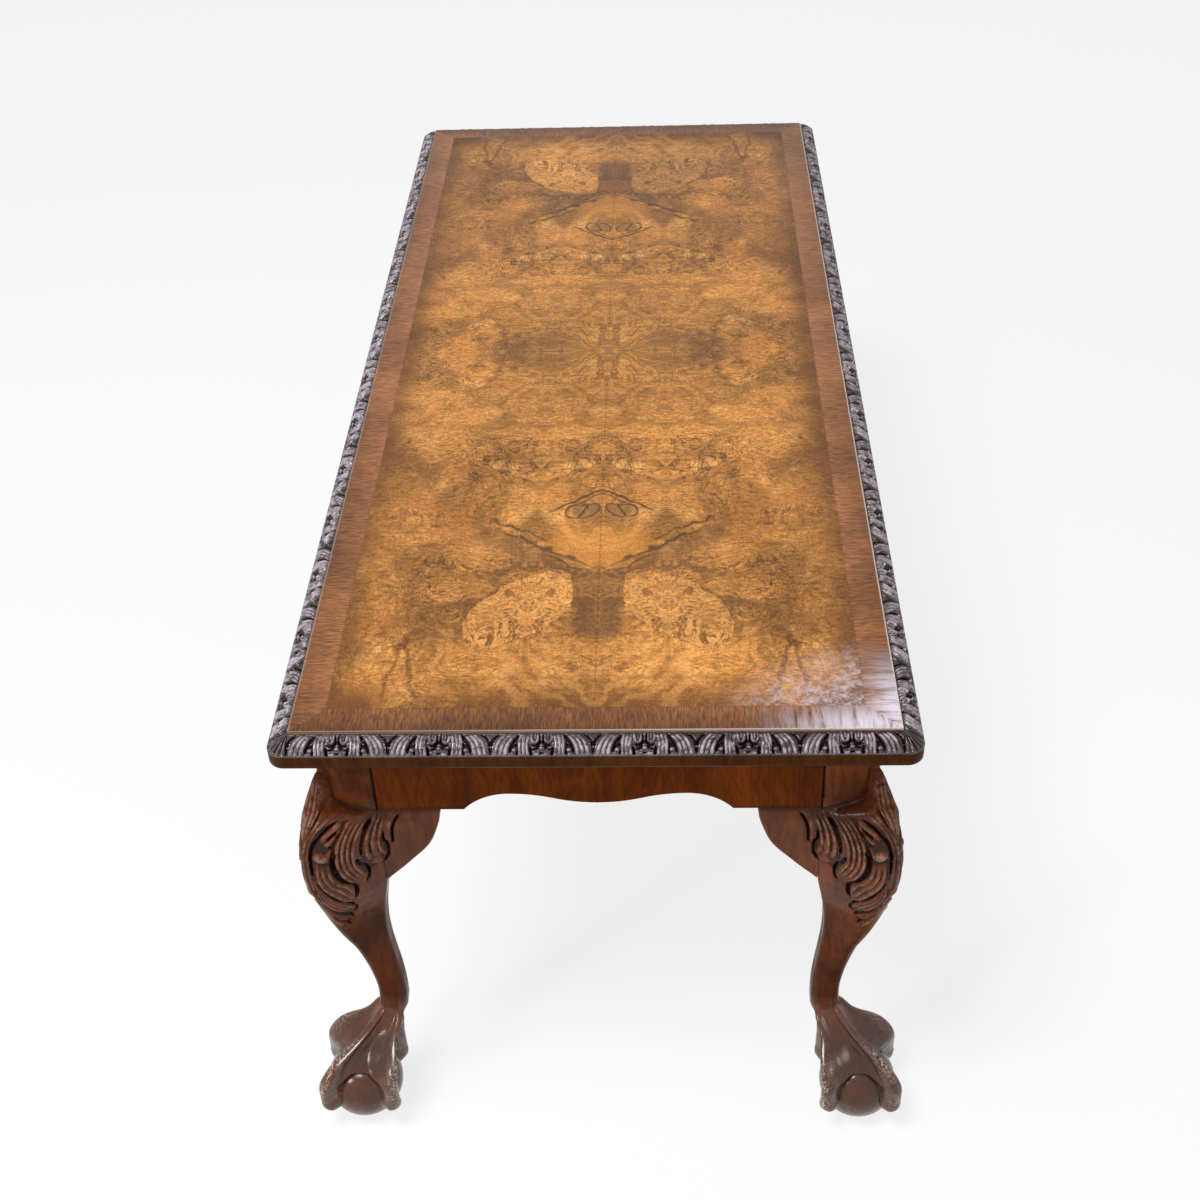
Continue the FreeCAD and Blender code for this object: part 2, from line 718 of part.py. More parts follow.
def make_leg_shape():
    """Post, knee, shaft, ball and talons, carved from one piece of wood. It stands at the
    origin with the post's outer corner over it and +X and +Y outwards."""
    side = value("post_side")
    top = value("top_under")
    arris = value("post_arris")
    post_foot = shaft_height(SHAFT_SHARES[0][0])
    post_wire = shaft_section(-side, 0, 0, value("post_round"), arris, arris, post_foot)
    post = Part.Face(post_wire).extrude(Vector(0, 0, top - post_foot))
    shaft = Part.makeLoft(shaft_wires() + web_wires(), True)
    centre = Vector(value("ball_reach"), value("ball_reach"), value("ball_height"))
    ball = Part.makeSphere(value("ball_radius"), centre)
    talons = [make_talon(azimuth) for azimuth in TALON_AZIMUTHS]
    leg = post.fuse([shaft, ball] + talons)
    overrun = value("overrun")
    reach = side + value("ball_radius")
    below = Part.makeBox(4 * reach, 4 * reach, reach, Vector(-2 * reach, -2 * reach, -reach))
    ear_foot = value("ear_foot")
    joint_height = top - ear_foot
    beside = [Part.makeBox(overrun, 4 * reach, joint_height, Vector(-side - overrun, -2 * reach, ear_foot)),
              Part.makeBox(4 * reach, overrun, joint_height, Vector(-2 * reach, -side - overrun, ear_foot))]
    return leg.cut([below, make_mortise(False), make_mortise(True)] + beside)


def make_legs():
    shape = make_leg_shape()
    for corner, (turn, sign_x, sign_y) in CORNERS.items():
        add_feature("leg_" + corner, shape.copy(), corner_placement(turn, sign_x, sign_y))


def make_sides():
    for side, (turn, face, span, edge, run, foot, places) in SIDES.items():
        make_crossband(side, turn, edge, run)
        make_moulding(side, turn, edge, run)
        make_rail(side, turn, face, span, foot)
        make_rail_veneer(side, turn, face, span, foot)
        for end, sign in (("left", "-"), ("right", "")):
            make_ear(side, turn, face, span, end, sign)
        for index, along in enumerate(places):
            make_button("top_button_%s_%d" % (side, index + 1), turn, face, along)


def check_model():
    document.recompute()
    for item in document.Objects:
        if "Invalid" in item.State or "Error" in item.State:
            raise RuntimeError("failed object: " + item.Label)
    for node in nodes:
        if node.Shape.isNull() or not node.Shape.isValid():
            raise RuntimeError("bad shape: " + node.Label)


def write_parts():
    os.makedirs("parts", exist_ok=True)
    for node in nodes:
        node.Shape.exportStep("parts/%s.step" % node.Label)


fill_sheet()
make_top_core()
make_backing_veneer()
make_burr_leaves()
make_sides()
make_legs()
for corner, (turn, sign_x, sign_y) in CORNERS.items():
    make_corner_block(corner, turn, sign_x, sign_y)
make_block_screws()
make_button_screws()
check_model()
write_parts()
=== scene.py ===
import math

import bpy
import numpy as np
from bpy.props import FloatProperty, FloatVectorProperty, IntProperty, PointerProperty
from mathutils import Matrix, Vector


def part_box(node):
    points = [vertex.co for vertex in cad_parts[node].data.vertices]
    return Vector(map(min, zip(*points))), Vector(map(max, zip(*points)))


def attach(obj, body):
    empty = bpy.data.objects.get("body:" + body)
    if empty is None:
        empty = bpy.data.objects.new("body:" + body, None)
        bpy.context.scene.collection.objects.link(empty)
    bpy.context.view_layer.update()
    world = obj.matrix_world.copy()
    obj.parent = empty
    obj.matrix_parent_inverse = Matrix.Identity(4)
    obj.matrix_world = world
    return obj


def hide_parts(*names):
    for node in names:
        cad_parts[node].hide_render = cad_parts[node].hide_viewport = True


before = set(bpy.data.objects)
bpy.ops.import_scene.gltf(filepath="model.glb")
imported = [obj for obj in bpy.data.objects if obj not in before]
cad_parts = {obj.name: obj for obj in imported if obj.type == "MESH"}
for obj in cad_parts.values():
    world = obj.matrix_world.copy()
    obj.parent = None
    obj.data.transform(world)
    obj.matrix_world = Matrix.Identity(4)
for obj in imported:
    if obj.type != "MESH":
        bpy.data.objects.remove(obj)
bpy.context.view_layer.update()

bl_info = {
    "name": "Carved coffee table",
    "version": (1, 0, 0),
    "blender": (4, 5, 0),
    "location": "View3D > Sidebar > Coffee table",
    "description": "Dresses the frame of a carved coffee table: veneers, carving, polish and a studio",
    "category": "Add Mesh",
}

MM = 0.001

# Sizes of the top and of the legs' places, read off the frame.
BAND_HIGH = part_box("crossband_right")[1]
EDGE_LOW, EDGE_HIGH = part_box("edge_moulding_left")[0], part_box("edge_moulding_right")[1]
FIELD_HALF = (BAND_HIGH[0], BAND_HIGH[1])
TABLE_HALF = (EDGE_HIGH[0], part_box("edge_moulding_back")[1][1])
TOP_LEVEL, TOP_UNDER = EDGE_HIGH[2], EDGE_LOW[2]
POST_FACE = (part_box("right_rail_veneer")[1][0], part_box("back_rail_veneer")[1][1])
RAIL_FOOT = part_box("left_rail_veneer")[0][2]
POST_SIDE = POST_FACE[0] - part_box("back_rail_veneer")[1][0]

# In metres: the crossbanding's width, how far the leaves' inner joints are from the middle,
# the moulding's lip over the top's underside, and the round of its corners.
BAND_WIDE = 0.024
INNER_JOINT = 0.053
LIP_HIGH = 0.012
MOULD_CORNER = 0.012

# Lines across the moulding's slope, columns in each repeat and in the fan at a corner, and
# what share of the carving's height goes up and out.
SLOPE_LINES = 31
REPEAT_COLUMNS = 104
CORNER_COLUMNS = 21
CARVED_UP, CARVED_OUT = 0.80, 0.55

# The side of a post and the depth of an ear, in millimetres.
POST = 38.5
EAR_DEEP = 22.5

# Sections of the leg in millimetres from the post's outer faces: height, heel, ridge,
# shoulder, and the rounds of the ridge, of the shoulders and of the heel.
LEG_SECTIONS = [
    (428.0, -POST, 0.0, 0.0, 11.0, 0.6, 0.6),
    (400.0, -POST, 0.0, 0.0, 11.0, 0.6, 0.6),
    (385.2, -POST, 3.8, 0.2, 11.6, 0.8, 0.7),
    (366.0, -POST, 10.9, 0.8, 12.7, 1.0, 0.8),
    (342.4, -POST, 17.6, 2.1, 13.5, 0.5, 0.8),
    (318.9, -POST, 21.7, 2.9, 13.9, 0.5, 1.0),
    (295.3, -POST, 22.8, 2.1, 13.5, 0.6, 1.5),
    (273.9, -37.9, 20.8, 0.4, 12.7, 1.6, 2.5),
    (252.5, -34.4, 16.4, -1.9, 11.6, 3.6, 3.5),
    (231.1, -30.8, 11.4, -4.2, 10.4, 4.2, 4.6),
    (209.7, -29.1, 5.8, -6.4, 9.6, 4.6, 5.2),
    (187.5, -29.5, -0.8, -7.9, 8.9, 5.0, 5.8),
    (165.2, -31.2, -5.4, -9.0, 8.5, 5.8, 6.2),
    (143.0, -33.2, -8.9, -9.8, 8.4, 6.8, 7.0),
    (121.6, -34.5, -10.9, -11.0, 8.4, 8.2, 8.2),
    (104.0, -34.6, -10.6, -10.6, 8.6, 8.4, 8.4),
]
ANKLE = LEG_SECTIONS[-1][0]

# Heights on a leg in millimetres: the top of the foot, the carving's ends, and the foot of
# the post above the knee.
FOOT_TOP = 112.0
CARVED_LOW, CARVED_HIGH = 227.0, 402.0
POST_FOOT = 318.0

# The ball, which the web covers above a height, and the web: height, its middle, how far
# its faces and its corners stand from that middle.
BALL_MIDDLE = (7.0, 7.0, 29.5)
BALL_RADIUS = 32.0
BALL_COVERED = 61.0
WEB_SECTIONS = [
    (104.0, -22.6, 12.0, 13.0),
    (97.0, -20.0, 11.4, 13.4),
    (90.0, -15.8, 10.8, 15.0),
    (84.0, -11.0, 10.4, 18.0),
    (80.0, -7.4, 10.2, 21.6),
    (76.0, -3.4, 10.6, 27.0),
    (72.0, 0.0, 11.8, 32.0),
    (67.0, 3.2, 14.0, 36.0),
    (62.0, 5.2, 17.2, 38.0),
    (58.0, 6.4, 20.4, 39.0),
    (52.0, 7.0, 25.5, 39.0),
    (46.0, 7.0, 29.5, 38.5),
    (24.0, 7.0, 33.0, 36.0),
]

# A talon, from the ankle down: height, distance from the web's middle, thickness and half
# its width.
TALON_PATH = [
    (106.0, 8.0, 2.4, 3.0),
    (98.0, 11.4, 3.0, 3.0),
    (90.0, 13.8, 3.6, 3.2),
    (84.0, 16.6, 4.4, 3.4),
    (80.0, 20.6, 5.0, 3.6),
    (76.0, 26.4, 5.6, 3.8),
    (72.0, 30.8, 6.2, 4.2),
    (66.0, 34.4, 6.8, 4.6),
    (60.0, 36.4, 7.2, 5.2),
    (53.0, 37.4, 7.4, 5.8),
    (45.0, 37.6, 7.4, 5.8),
    (38.0, 37.4, 7.6, 6.0),
    (33.0, 37.0, 8.0, 6.8),
    (28.5, 36.4, 7.4, 6.8),
    (25.0, 35.2, 5.2, 5.6),
    (22.6, 34.0, 2.2, 3.4),
    (22.0, 33.4, 0.6, 2.0),
]
TALON_TOP, TALON_FOOT = TALON_PATH[0][0], TALON_PATH[-1][0]

# The carving on a knee and its ear, on the front face: places are how far in from the post's
# outer face and how high, in millimetres. A fan is a leaf of round flutes side by side: how
# many, how high, and its two edges from the root to the tip. Ribs stand up and cuts go in;
# their two numbers are half the width and the height.
KNEE_FANS = [
    (4, 1.6, [(-3.4, 391), (-8.6, 376), (-14.6, 360), (-19, 344), (-21, 328)],
     [(2.2, 389), (1.6, 376), (0, 364), (-5, 354), (-11.4, 342)]),
    (2, 2.0, [(2, 361), (-6, 352), (-12.6, 341), (-17.6, 328), (-20, 315), (-20.4, 300), (-19.4, 288),
              (-15.8, 275), (-10, 262)],
     [(9.4, 357), (0.6, 350), (-6, 342), (-10.8, 333), (-13, 322), (-13.4, 310), (-13, 298), (-12, 288),
      (-9, 278), (-4.4, 267)]),
    (4, 2.6, [(21.6, 351), (13.2, 343), (7.6, 332), (4.8, 321), (4.4, 310), (6.4, 298), (11.6, 287),
              (18.4, 280.6)],
     [(33, 347.6), (28, 340), (23.4, 331), (20.4, 321), (19.4, 311), (19.8, 304), (22.6, 296),
      (24.8, 287)]),
    (3, 2.6, [(37, 349), (30.4, 338), (26.6, 327), (25.2, 315), (26.8, 304)],
     [(45, 345.6), (41.6, 334), (40, 322), (40.2, 314), (41.4, 305)]),
    (3, 2.4, [(-9.6, 316), (-10.6, 302), (-8.6, 290), (-3.4, 278), (3.6, 266.4), (11, 259.6)],
     [(0.8, 310), (2, 299), (6.4, 288.6), (11.4, 284.6), (14.2, 278), (14, 269)]),
    (3, 2.2, [(-13.4, 287), (-10.4, 273), (-5, 261), (1, 251.6)],
     [(-6.4, 283), (-2, 272), (3.6, 264), (9.2, 259), (11.4, 251.6)]),
    (2, 1.9, [(-12.4, 266), (-8.4, 255), (-2.8, 246), (3, 239)],
     [(-6.8, 262), (-2.4, 253), (3.4, 247.4), (8.8, 242)]),
    (2, 1.6, [(-8.6, 252), (-4.8, 242), (0, 234), (4, 229)],
     [(-3, 249), (0.6, 241.6), (4.8, 236), (7, 230)]),
]
KNEE_RIBS = [
    (2.5, 2.3, [(13.6, 350.6), (8.4, 345), (0.8, 339.6), (-3, 334.4)]),
    (2.2, 2.3, [(13, 344.4), (9, 338), (4, 333.6), (-1.4, 330.6)]),
    (2.2, 2.2, [(10.6, 337), (5.6, 327.6), (1.4, 321.2), (-3, 316)]),
    (4.4, 2.9, [(-7.6, 325.6), (-6, 321.4), (-2.4, 319.6), (0.2, 322.6)]),
    (2.4, 1.8, [(-11.6, 298), (-10.6, 289), (-7.6, 281.6)]),
    (3.2, 1.6, [(46.6, 345), (44.4, 334), (44, 325), (44.6, 318)]),
    (4.4, 1.9, [(30.6, 303.6), (34.6, 301.6), (38.4, 304.6)]),
    (3.0, 1.6, [(27.2, 340), (24.4, 328), (22.4, 316), (22.6, 307)]),
]
KNEE_CUTS = [
    (1.0, 1.7, [(1.4, 364.6), (-4.2, 355.6), (-9.6, 344.6), (-13.2, 336)]),
    (1.2, 2.4, [(15, 352.6), (5, 347.4), (-2.9, 340.4), (-9.4, 331.8), (-12.6, 322), (-13.2, 310),
                (-13, 298)]),
    (1.1, 2.0, [(-21.6, 316), (-21.8, 300), (-20.6, 288), (-17, 275), (-11.4, 262)]),
    (1.5, 2.8, [(9.8, 341.4), (4.4, 338.2), (0, 334.6)]),
    (1.3, 2.4, [(11, 335), (5.8, 329.4), (1, 326)]),
    (1.4, 2.6, [(6.2, 322), (3.2, 315), (-1, 311)]),
    (1.8, 3.0, [(17, 347), (9.4, 337), (4.8, 327), (2.6, 314), (2.6, 303), (5, 293), (11, 285)]),
    (1.4, 3.0, [(17.6, 312), (20.6, 303.4), (24.8, 299.2), (26.6, 292), (25.6, 284.6), (21.8, 278.6)]),
    (1.6, 2.8, [(35.6, 346), (29, 337), (25, 326), (23.2, 315), (24, 306)]),
    (1.3, 2.8, [(40.4, 331), (40.4, 322), (42.9, 315.4), (42.8, 305.6), (38.6, 298.2), (33, 296.6)]),
    (1.4, 2.8, [(57, 349.4), (52.3, 343.3), (48.6, 334.7), (47.4, 326), (47.2, 319), (43.8, 315)]),
    (1.5, 3.0, [(0.6, 309), (3.2, 298), (7.8, 287.4), (12.4, 284.4), (15.6, 277), (15, 268.6),
                (11, 261.6)]),
    (1.3, 2.4, [(-12.4, 300), (-9.4, 290), (-6.6, 282.6), (-2.6, 275.4), (2, 268), (8, 261)]),
    (1.4, 2.6, [(4.6, 262.6), (9.6, 258.8), (12.6, 252), (9.4, 246)]),
    (1.2, 2.2, [(-8.6, 264), (-4, 254.6), (1, 249), (7, 245.6), (9.6, 239.6)]),
    (1.1, 2.0, [(-6, 251), (-2, 243.4), (2.6, 238), (7.6, 231.6)]),
]

# The outline of the sunk ground round a knee's leaves.
LEAF_BED = [(-14, 346), (8, 352), (48, 349), (46, 318), (42, 301), (26, 290),
            (15, 266), (11, 246), (5, 230), (-12, 258), (-22, 296)]

# The block's foot on a post, over the carving.
BLOCK_FOOT = [(-6, 400), (2, 392), (3.4, 381), (4.4, 372), (8.3, 365), (17, 358.7), (26.3, 354.2),
              (POST, 351.5), (90, 351.5)]

# The lower edge of an ear: how far in from the post's outer face, and how high.
EAR_EDGE = [(86.0, 351.5), (85.2, 345.0), (84.0, 338.0), (81.4, 329.5), (77.6, 319.2), (72.4, 310.4),
            (62.0, 298.8), (52.6, 288.0), (44.0, 279.0), (POST, 273.5)]

# One repeat of the moulding, half of it: along it from a gap (0) to a flower's middle (100),
# and across it from the inner edge (0) to the outer (100).
MOULD_FANS = [
    (3, 2.3, [(4, 100), (7, 72), (14, 40), (28, 3)], [(34, 100), (36, 78), (41, 50), (52, 16)]),
    (3, 2.3, [(54, 100), (53, 68), (54, 38), (58, 3)], [(78, 100), (76, 74), (76, 46), (79, 12)]),
]
MOULD_RIBS = [
    (6.6, 2.6, [(44.6, 74), (48, 78), (50.6, 73)]),
    (3.0, 2.5, [(81.0, 3), (80.6, 28), (82.4, 44), (87, 51), (91.6, 44), (93.2, 28), (93.0, 3)]),
    (1.9, 1.9, [(87, 3), (87, 38)]),
    (3.6, 2.5, [(100, 3), (100, 44)]),
    (4.8, 2.2, [(100, 66), (100, 78)]),
    (4.2, 1.8, [(84, 90), (90, 95), (95, 88)]),
    (3.4, 1.3, [(37, 98), (41, 97), (47, 98)]),
]
MOULD_CUTS = [
    (2.6, 2.6, [(-0.4, 100), (0.6, 70), (6, 34), (20, 2)]),
    (3.0, 2.8, [(37, 94), (40, 76), (45, 52), (53, 24), (55, 4)]),
    (3.0, 2.6, [(51, 98), (53, 84), (50.6, 64), (52, 48)]),
    (3.0, 2.6, [(80, 100), (78.4, 78), (77, 66)]),
    (2.6, 2.6, [(77, 66), (81, 58), (87, 62), (93, 57), (96.4, 46), (96.6, 6)]),
    (3.4, 2.6, [(82, 76), (88, 76), (93, 70), (94, 60)]),
    (2.2, 2.4, [(97, 92), (100, 88)]),
]


def colour_property(name, description, default):
    return FloatVectorProperty(name=name, description=description, default=default, subtype="COLOR")


class StageSizes(bpy.types.PropertyGroup):
    lamp_power: FloatProperty(
        name="Lamp power", description="Power of the large lamp over the table",
        default=72.0, subtype="POWER")
    sky: FloatProperty(
        name="Room light", description="Strength of the even light all round",
        default=0.24, min=0.0)
    floor_colour: colour_property("Floor", "Colour of the pale floor", (0.9, 0.9, 0.9))


class CarvingSizes(bpy.types.PropertyGroup):
    knee_depth: FloatProperty(
        name="Knee depth", description="How deep the carving of the knees goes, as a share",
        default=1.0)
    moulding_depth: FloatProperty(
        name="Moulding depth", description="How deep the moulding's carving goes, as a share",
        default=1.0)
    leg_segments: IntProperty(
        name="Round the leg", description="Points round each leg",
        default=220, min=48)
    end_repeats: IntProperty(
        name="Flowers at an end", description="Repeats of the carving along an end",
        default=6, min=1)
    side_repeats: IntProperty(
        name="Flowers on a side", description="Repeats of the carving along a side",
        default=14, min=1)
    crown: FloatProperty(
        name="Crown", description="Swell of the moulding's slope",
        default=0.0018, unit="LENGTH")


class PolishColours(bpy.types.PropertyGroup):
    burr_gold: colour_property("Burr, light", "Light ground of the burr", (0.60, 0.262, 0.066))
    burr_brown: colour_property("Burr, dark", "Dark clouds of the burr", (0.185, 0.072, 0.022))
    band: colour_property("Crossband", "Crossbanding round the field", (0.215, 0.084, 0.031))
    carved: colour_property("Carved walnut", "Polish on the legs and ears", (0.088, 0.020, 0.004))
    # The moulding's greyish lavender is partly a painted reflection of the sky.
    moulding: colour_property("Moulding", "Polish on the carved edge", (0.052, 0.039, 0.040))
    rail: colour_property("Rail veneer", "Veneer on the rails", (0.128, 0.026, 0.001))
    ground: colour_property("Plain wood", "Unpolished wood inside", (0.30, 0.17, 0.08))


def settings(kind):
    return getattr(bpy.context.scene, "coffee_table_" + kind)


def unit(value):
    """A number held between 0 and 1."""
    return min(max(value, 0.0), 1.0)


def times_all(colour, share):
    return tuple(share * part for part in colour)


class Nodes:
    """Adds shader nodes to one tree. Each helper gives the output of the node that it adds."""

    def __init__(self, tree):
        self.tree = tree

    def feed(self, socket, item):
        if isinstance(item, bpy.types.NodeSocket):
            self.tree.links.new(item, socket)
        elif socket.type == "RGBA" and len(item) == 3:
            socket.default_value = (*item, 1.0)
        else:
            socket.default_value = item

    def add(self, kind, inputs, **choices):
        node = self.tree.nodes.new(kind)
        for name, choice in choices.items():
            setattr(node, name, choice)
        for name, item in inputs.items():
            self.feed(node.inputs[name], item)
        return node

    def reckon(self, operation, *items, clamp=False):
        node = self.add("ShaderNodeMath", dict(enumerate(items)), operation=operation, use_clamp=clamp)
        return node.outputs[0]

    def times(self, first, second, clamp=False):
        return self.reckon("MULTIPLY", first, second, clamp=clamp)

    def plus(self, first, second):
        return self.reckon("ADD", first, second)

    def less(self, first, second):
        return self.reckon("SUBTRACT", first, second)

    def most(self, first, second):
        return self.reckon("MAXIMUM", first, second)

    def least(self, first, second):
        return self.reckon("MINIMUM", first, second)

    def power(self, item, height):
        return self.reckon("POWER", item, height)

    def bearing(self, side, ahead):
        return self.reckon("ARCTAN2", side, ahead)

    def size(self, item):
        return self.reckon("ABSOLUTE", item)

    def wave_of(self, item):
        return self.reckon("SINE", item)

    def join(self, x, y, z):
        return self.add("ShaderNodeCombineXYZ", {"X": x, "Y": y, "Z": z}).outputs[0]

    def stretch(self, vector, scale, turn=(0.0, 0.0, 0.0)):
        inputs = {"Vector": vector, "Scale": scale, "Rotation": turn}
        return self.add("ShaderNodeMapping", inputs).outputs[0]

    def noise(self, vector, scale, detail=3.0, rough=0.5, twist=0.0, output=0):
        """Noise at a vector: its value, or its colour where the output is 1."""
        inputs = {"Vector": vector, "Scale": scale, "Detail": detail, "Roughness": rough,
                  "Distortion": twist}
        return self.add("ShaderNodeTexNoise", inputs).outputs[output]

    def shift(self, operation, inputs):
        return self.add("ShaderNodeVectorMath", inputs, operation=operation).outputs[0]

    def stir(self, vector, scale, amount, detail=2.0):
        """The vector moved about by noise, by up to half the amount."""
        swirl = self.noise(vector, scale, detail, output=1)
        way = self.shift("SUBTRACT", {0: swirl, 1: (0.5, 0.5, 0.5)})
        return self.shift("ADD", {0: vector, 1: self.shift("SCALE", {0: way, "Scale": amount})})

    def span(self, item, low, high, out_low=0.0, out_high=1.0, smooth=True):
        """A value carried from one range to another, held at its ends."""
        inputs = {"Value": item, "From Min": low, "From Max": high, "To Min": out_low, "To Max": out_high}
        kind = "SMOOTHSTEP" if smooth else "LINEAR"
        return self.add("ShaderNodeMapRange", inputs, interpolation_type=kind).outputs[0]

    def mix(self, share, low, high, blend="MIX"):
        node = self.add("ShaderNodeMix", {0: share}, data_type="RGBA", blend_type=blend, clamp_factor=True)
        self.feed(node.inputs[6], low)
        self.feed(node.inputs[7], high)
        return node.outputs[2]

    def toned(self, colour, item, *ends, **choices):
        """The colour times a value that is carried from one range to another."""
        share = self.span(item, *ends, **choices)
        return self.mix(1.0, colour, self.join(share, share, share), "MULTIPLY")

    def cloudy(self, item, tint, dark, light):
        """The tint from dark to light along a noise's value."""
        return self.mix(self.span(item, 0.3, 0.7), times_all(tint, dark), times_all(tint, light))

    def blob(self, x, y, middle, radii, soft=0.25, turn=0.0):
        """1 inside a turned ellipse and 0 outside it."""
        cosine, sine = math.cos(turn), math.sin(turn)
        dx = self.less(x, middle[0])
        dy = self.less(y, middle[1])
        along = self.plus(self.times(dx, cosine / radii[0]), self.times(dy, sine / radii[0]))
        across = self.less(self.times(dy, cosine / radii[1]), self.times(dx, sine / radii[1]))
        reach = self.plus(self.times(along, along), self.times(across, across))
        return self.span(reach, 1.0 + soft, 1.0 - soft)

    def band(self, item, middle, half, soft):
        away = self.size(self.less(item, middle))
        return self.span(away, half + soft, half)

    def shown(self):
        """1 for the rays that see the background: from the camera, mirrored or let through."""
        rays = self.add("ShaderNodeLightPath", {}).outputs
        glassy = self.most(rays["Is Glossy Ray"], rays["Is Transmission Ray"])
        return self.most(rays["Is Camera Ray"], glassy)


class Finish(Nodes):
    """The nodes of one material. Its place is the object's own coordinates in metres."""

    def __init__(self, name):
        self.material = bpy.data.materials.new(name)
        self.material.use_nodes = True
        super().__init__(self.material.node_tree)
        self.shader = self.tree.nodes["Principled BSDF"]
        self.place = self.add("ShaderNodeTexCoord", {}).outputs["Object"]
        self.x, self.y, self.z = self.add("ShaderNodeSeparateXYZ", {"Vector": self.place}).outputs

    def relief(self, height, strength, distance):
        bump = self.add("ShaderNodeBump", {"Height": height, "Strength": strength, "Distance": distance})
        self.feed(self.shader.inputs["Normal"], bump.outputs[0])

    def finish(self, colour, rough, coat=0.0, coat_rough=0.1, specular=0.5, metal=0.0):
        for name, item in (
                ("Base Color", colour), ("Roughness", rough), ("Coat Weight", coat),
                ("Coat Roughness", coat_rough), ("Specular IOR Level", specular), ("Metallic", metal)):
            self.feed(self.shader.inputs[name], item)
        return self.material


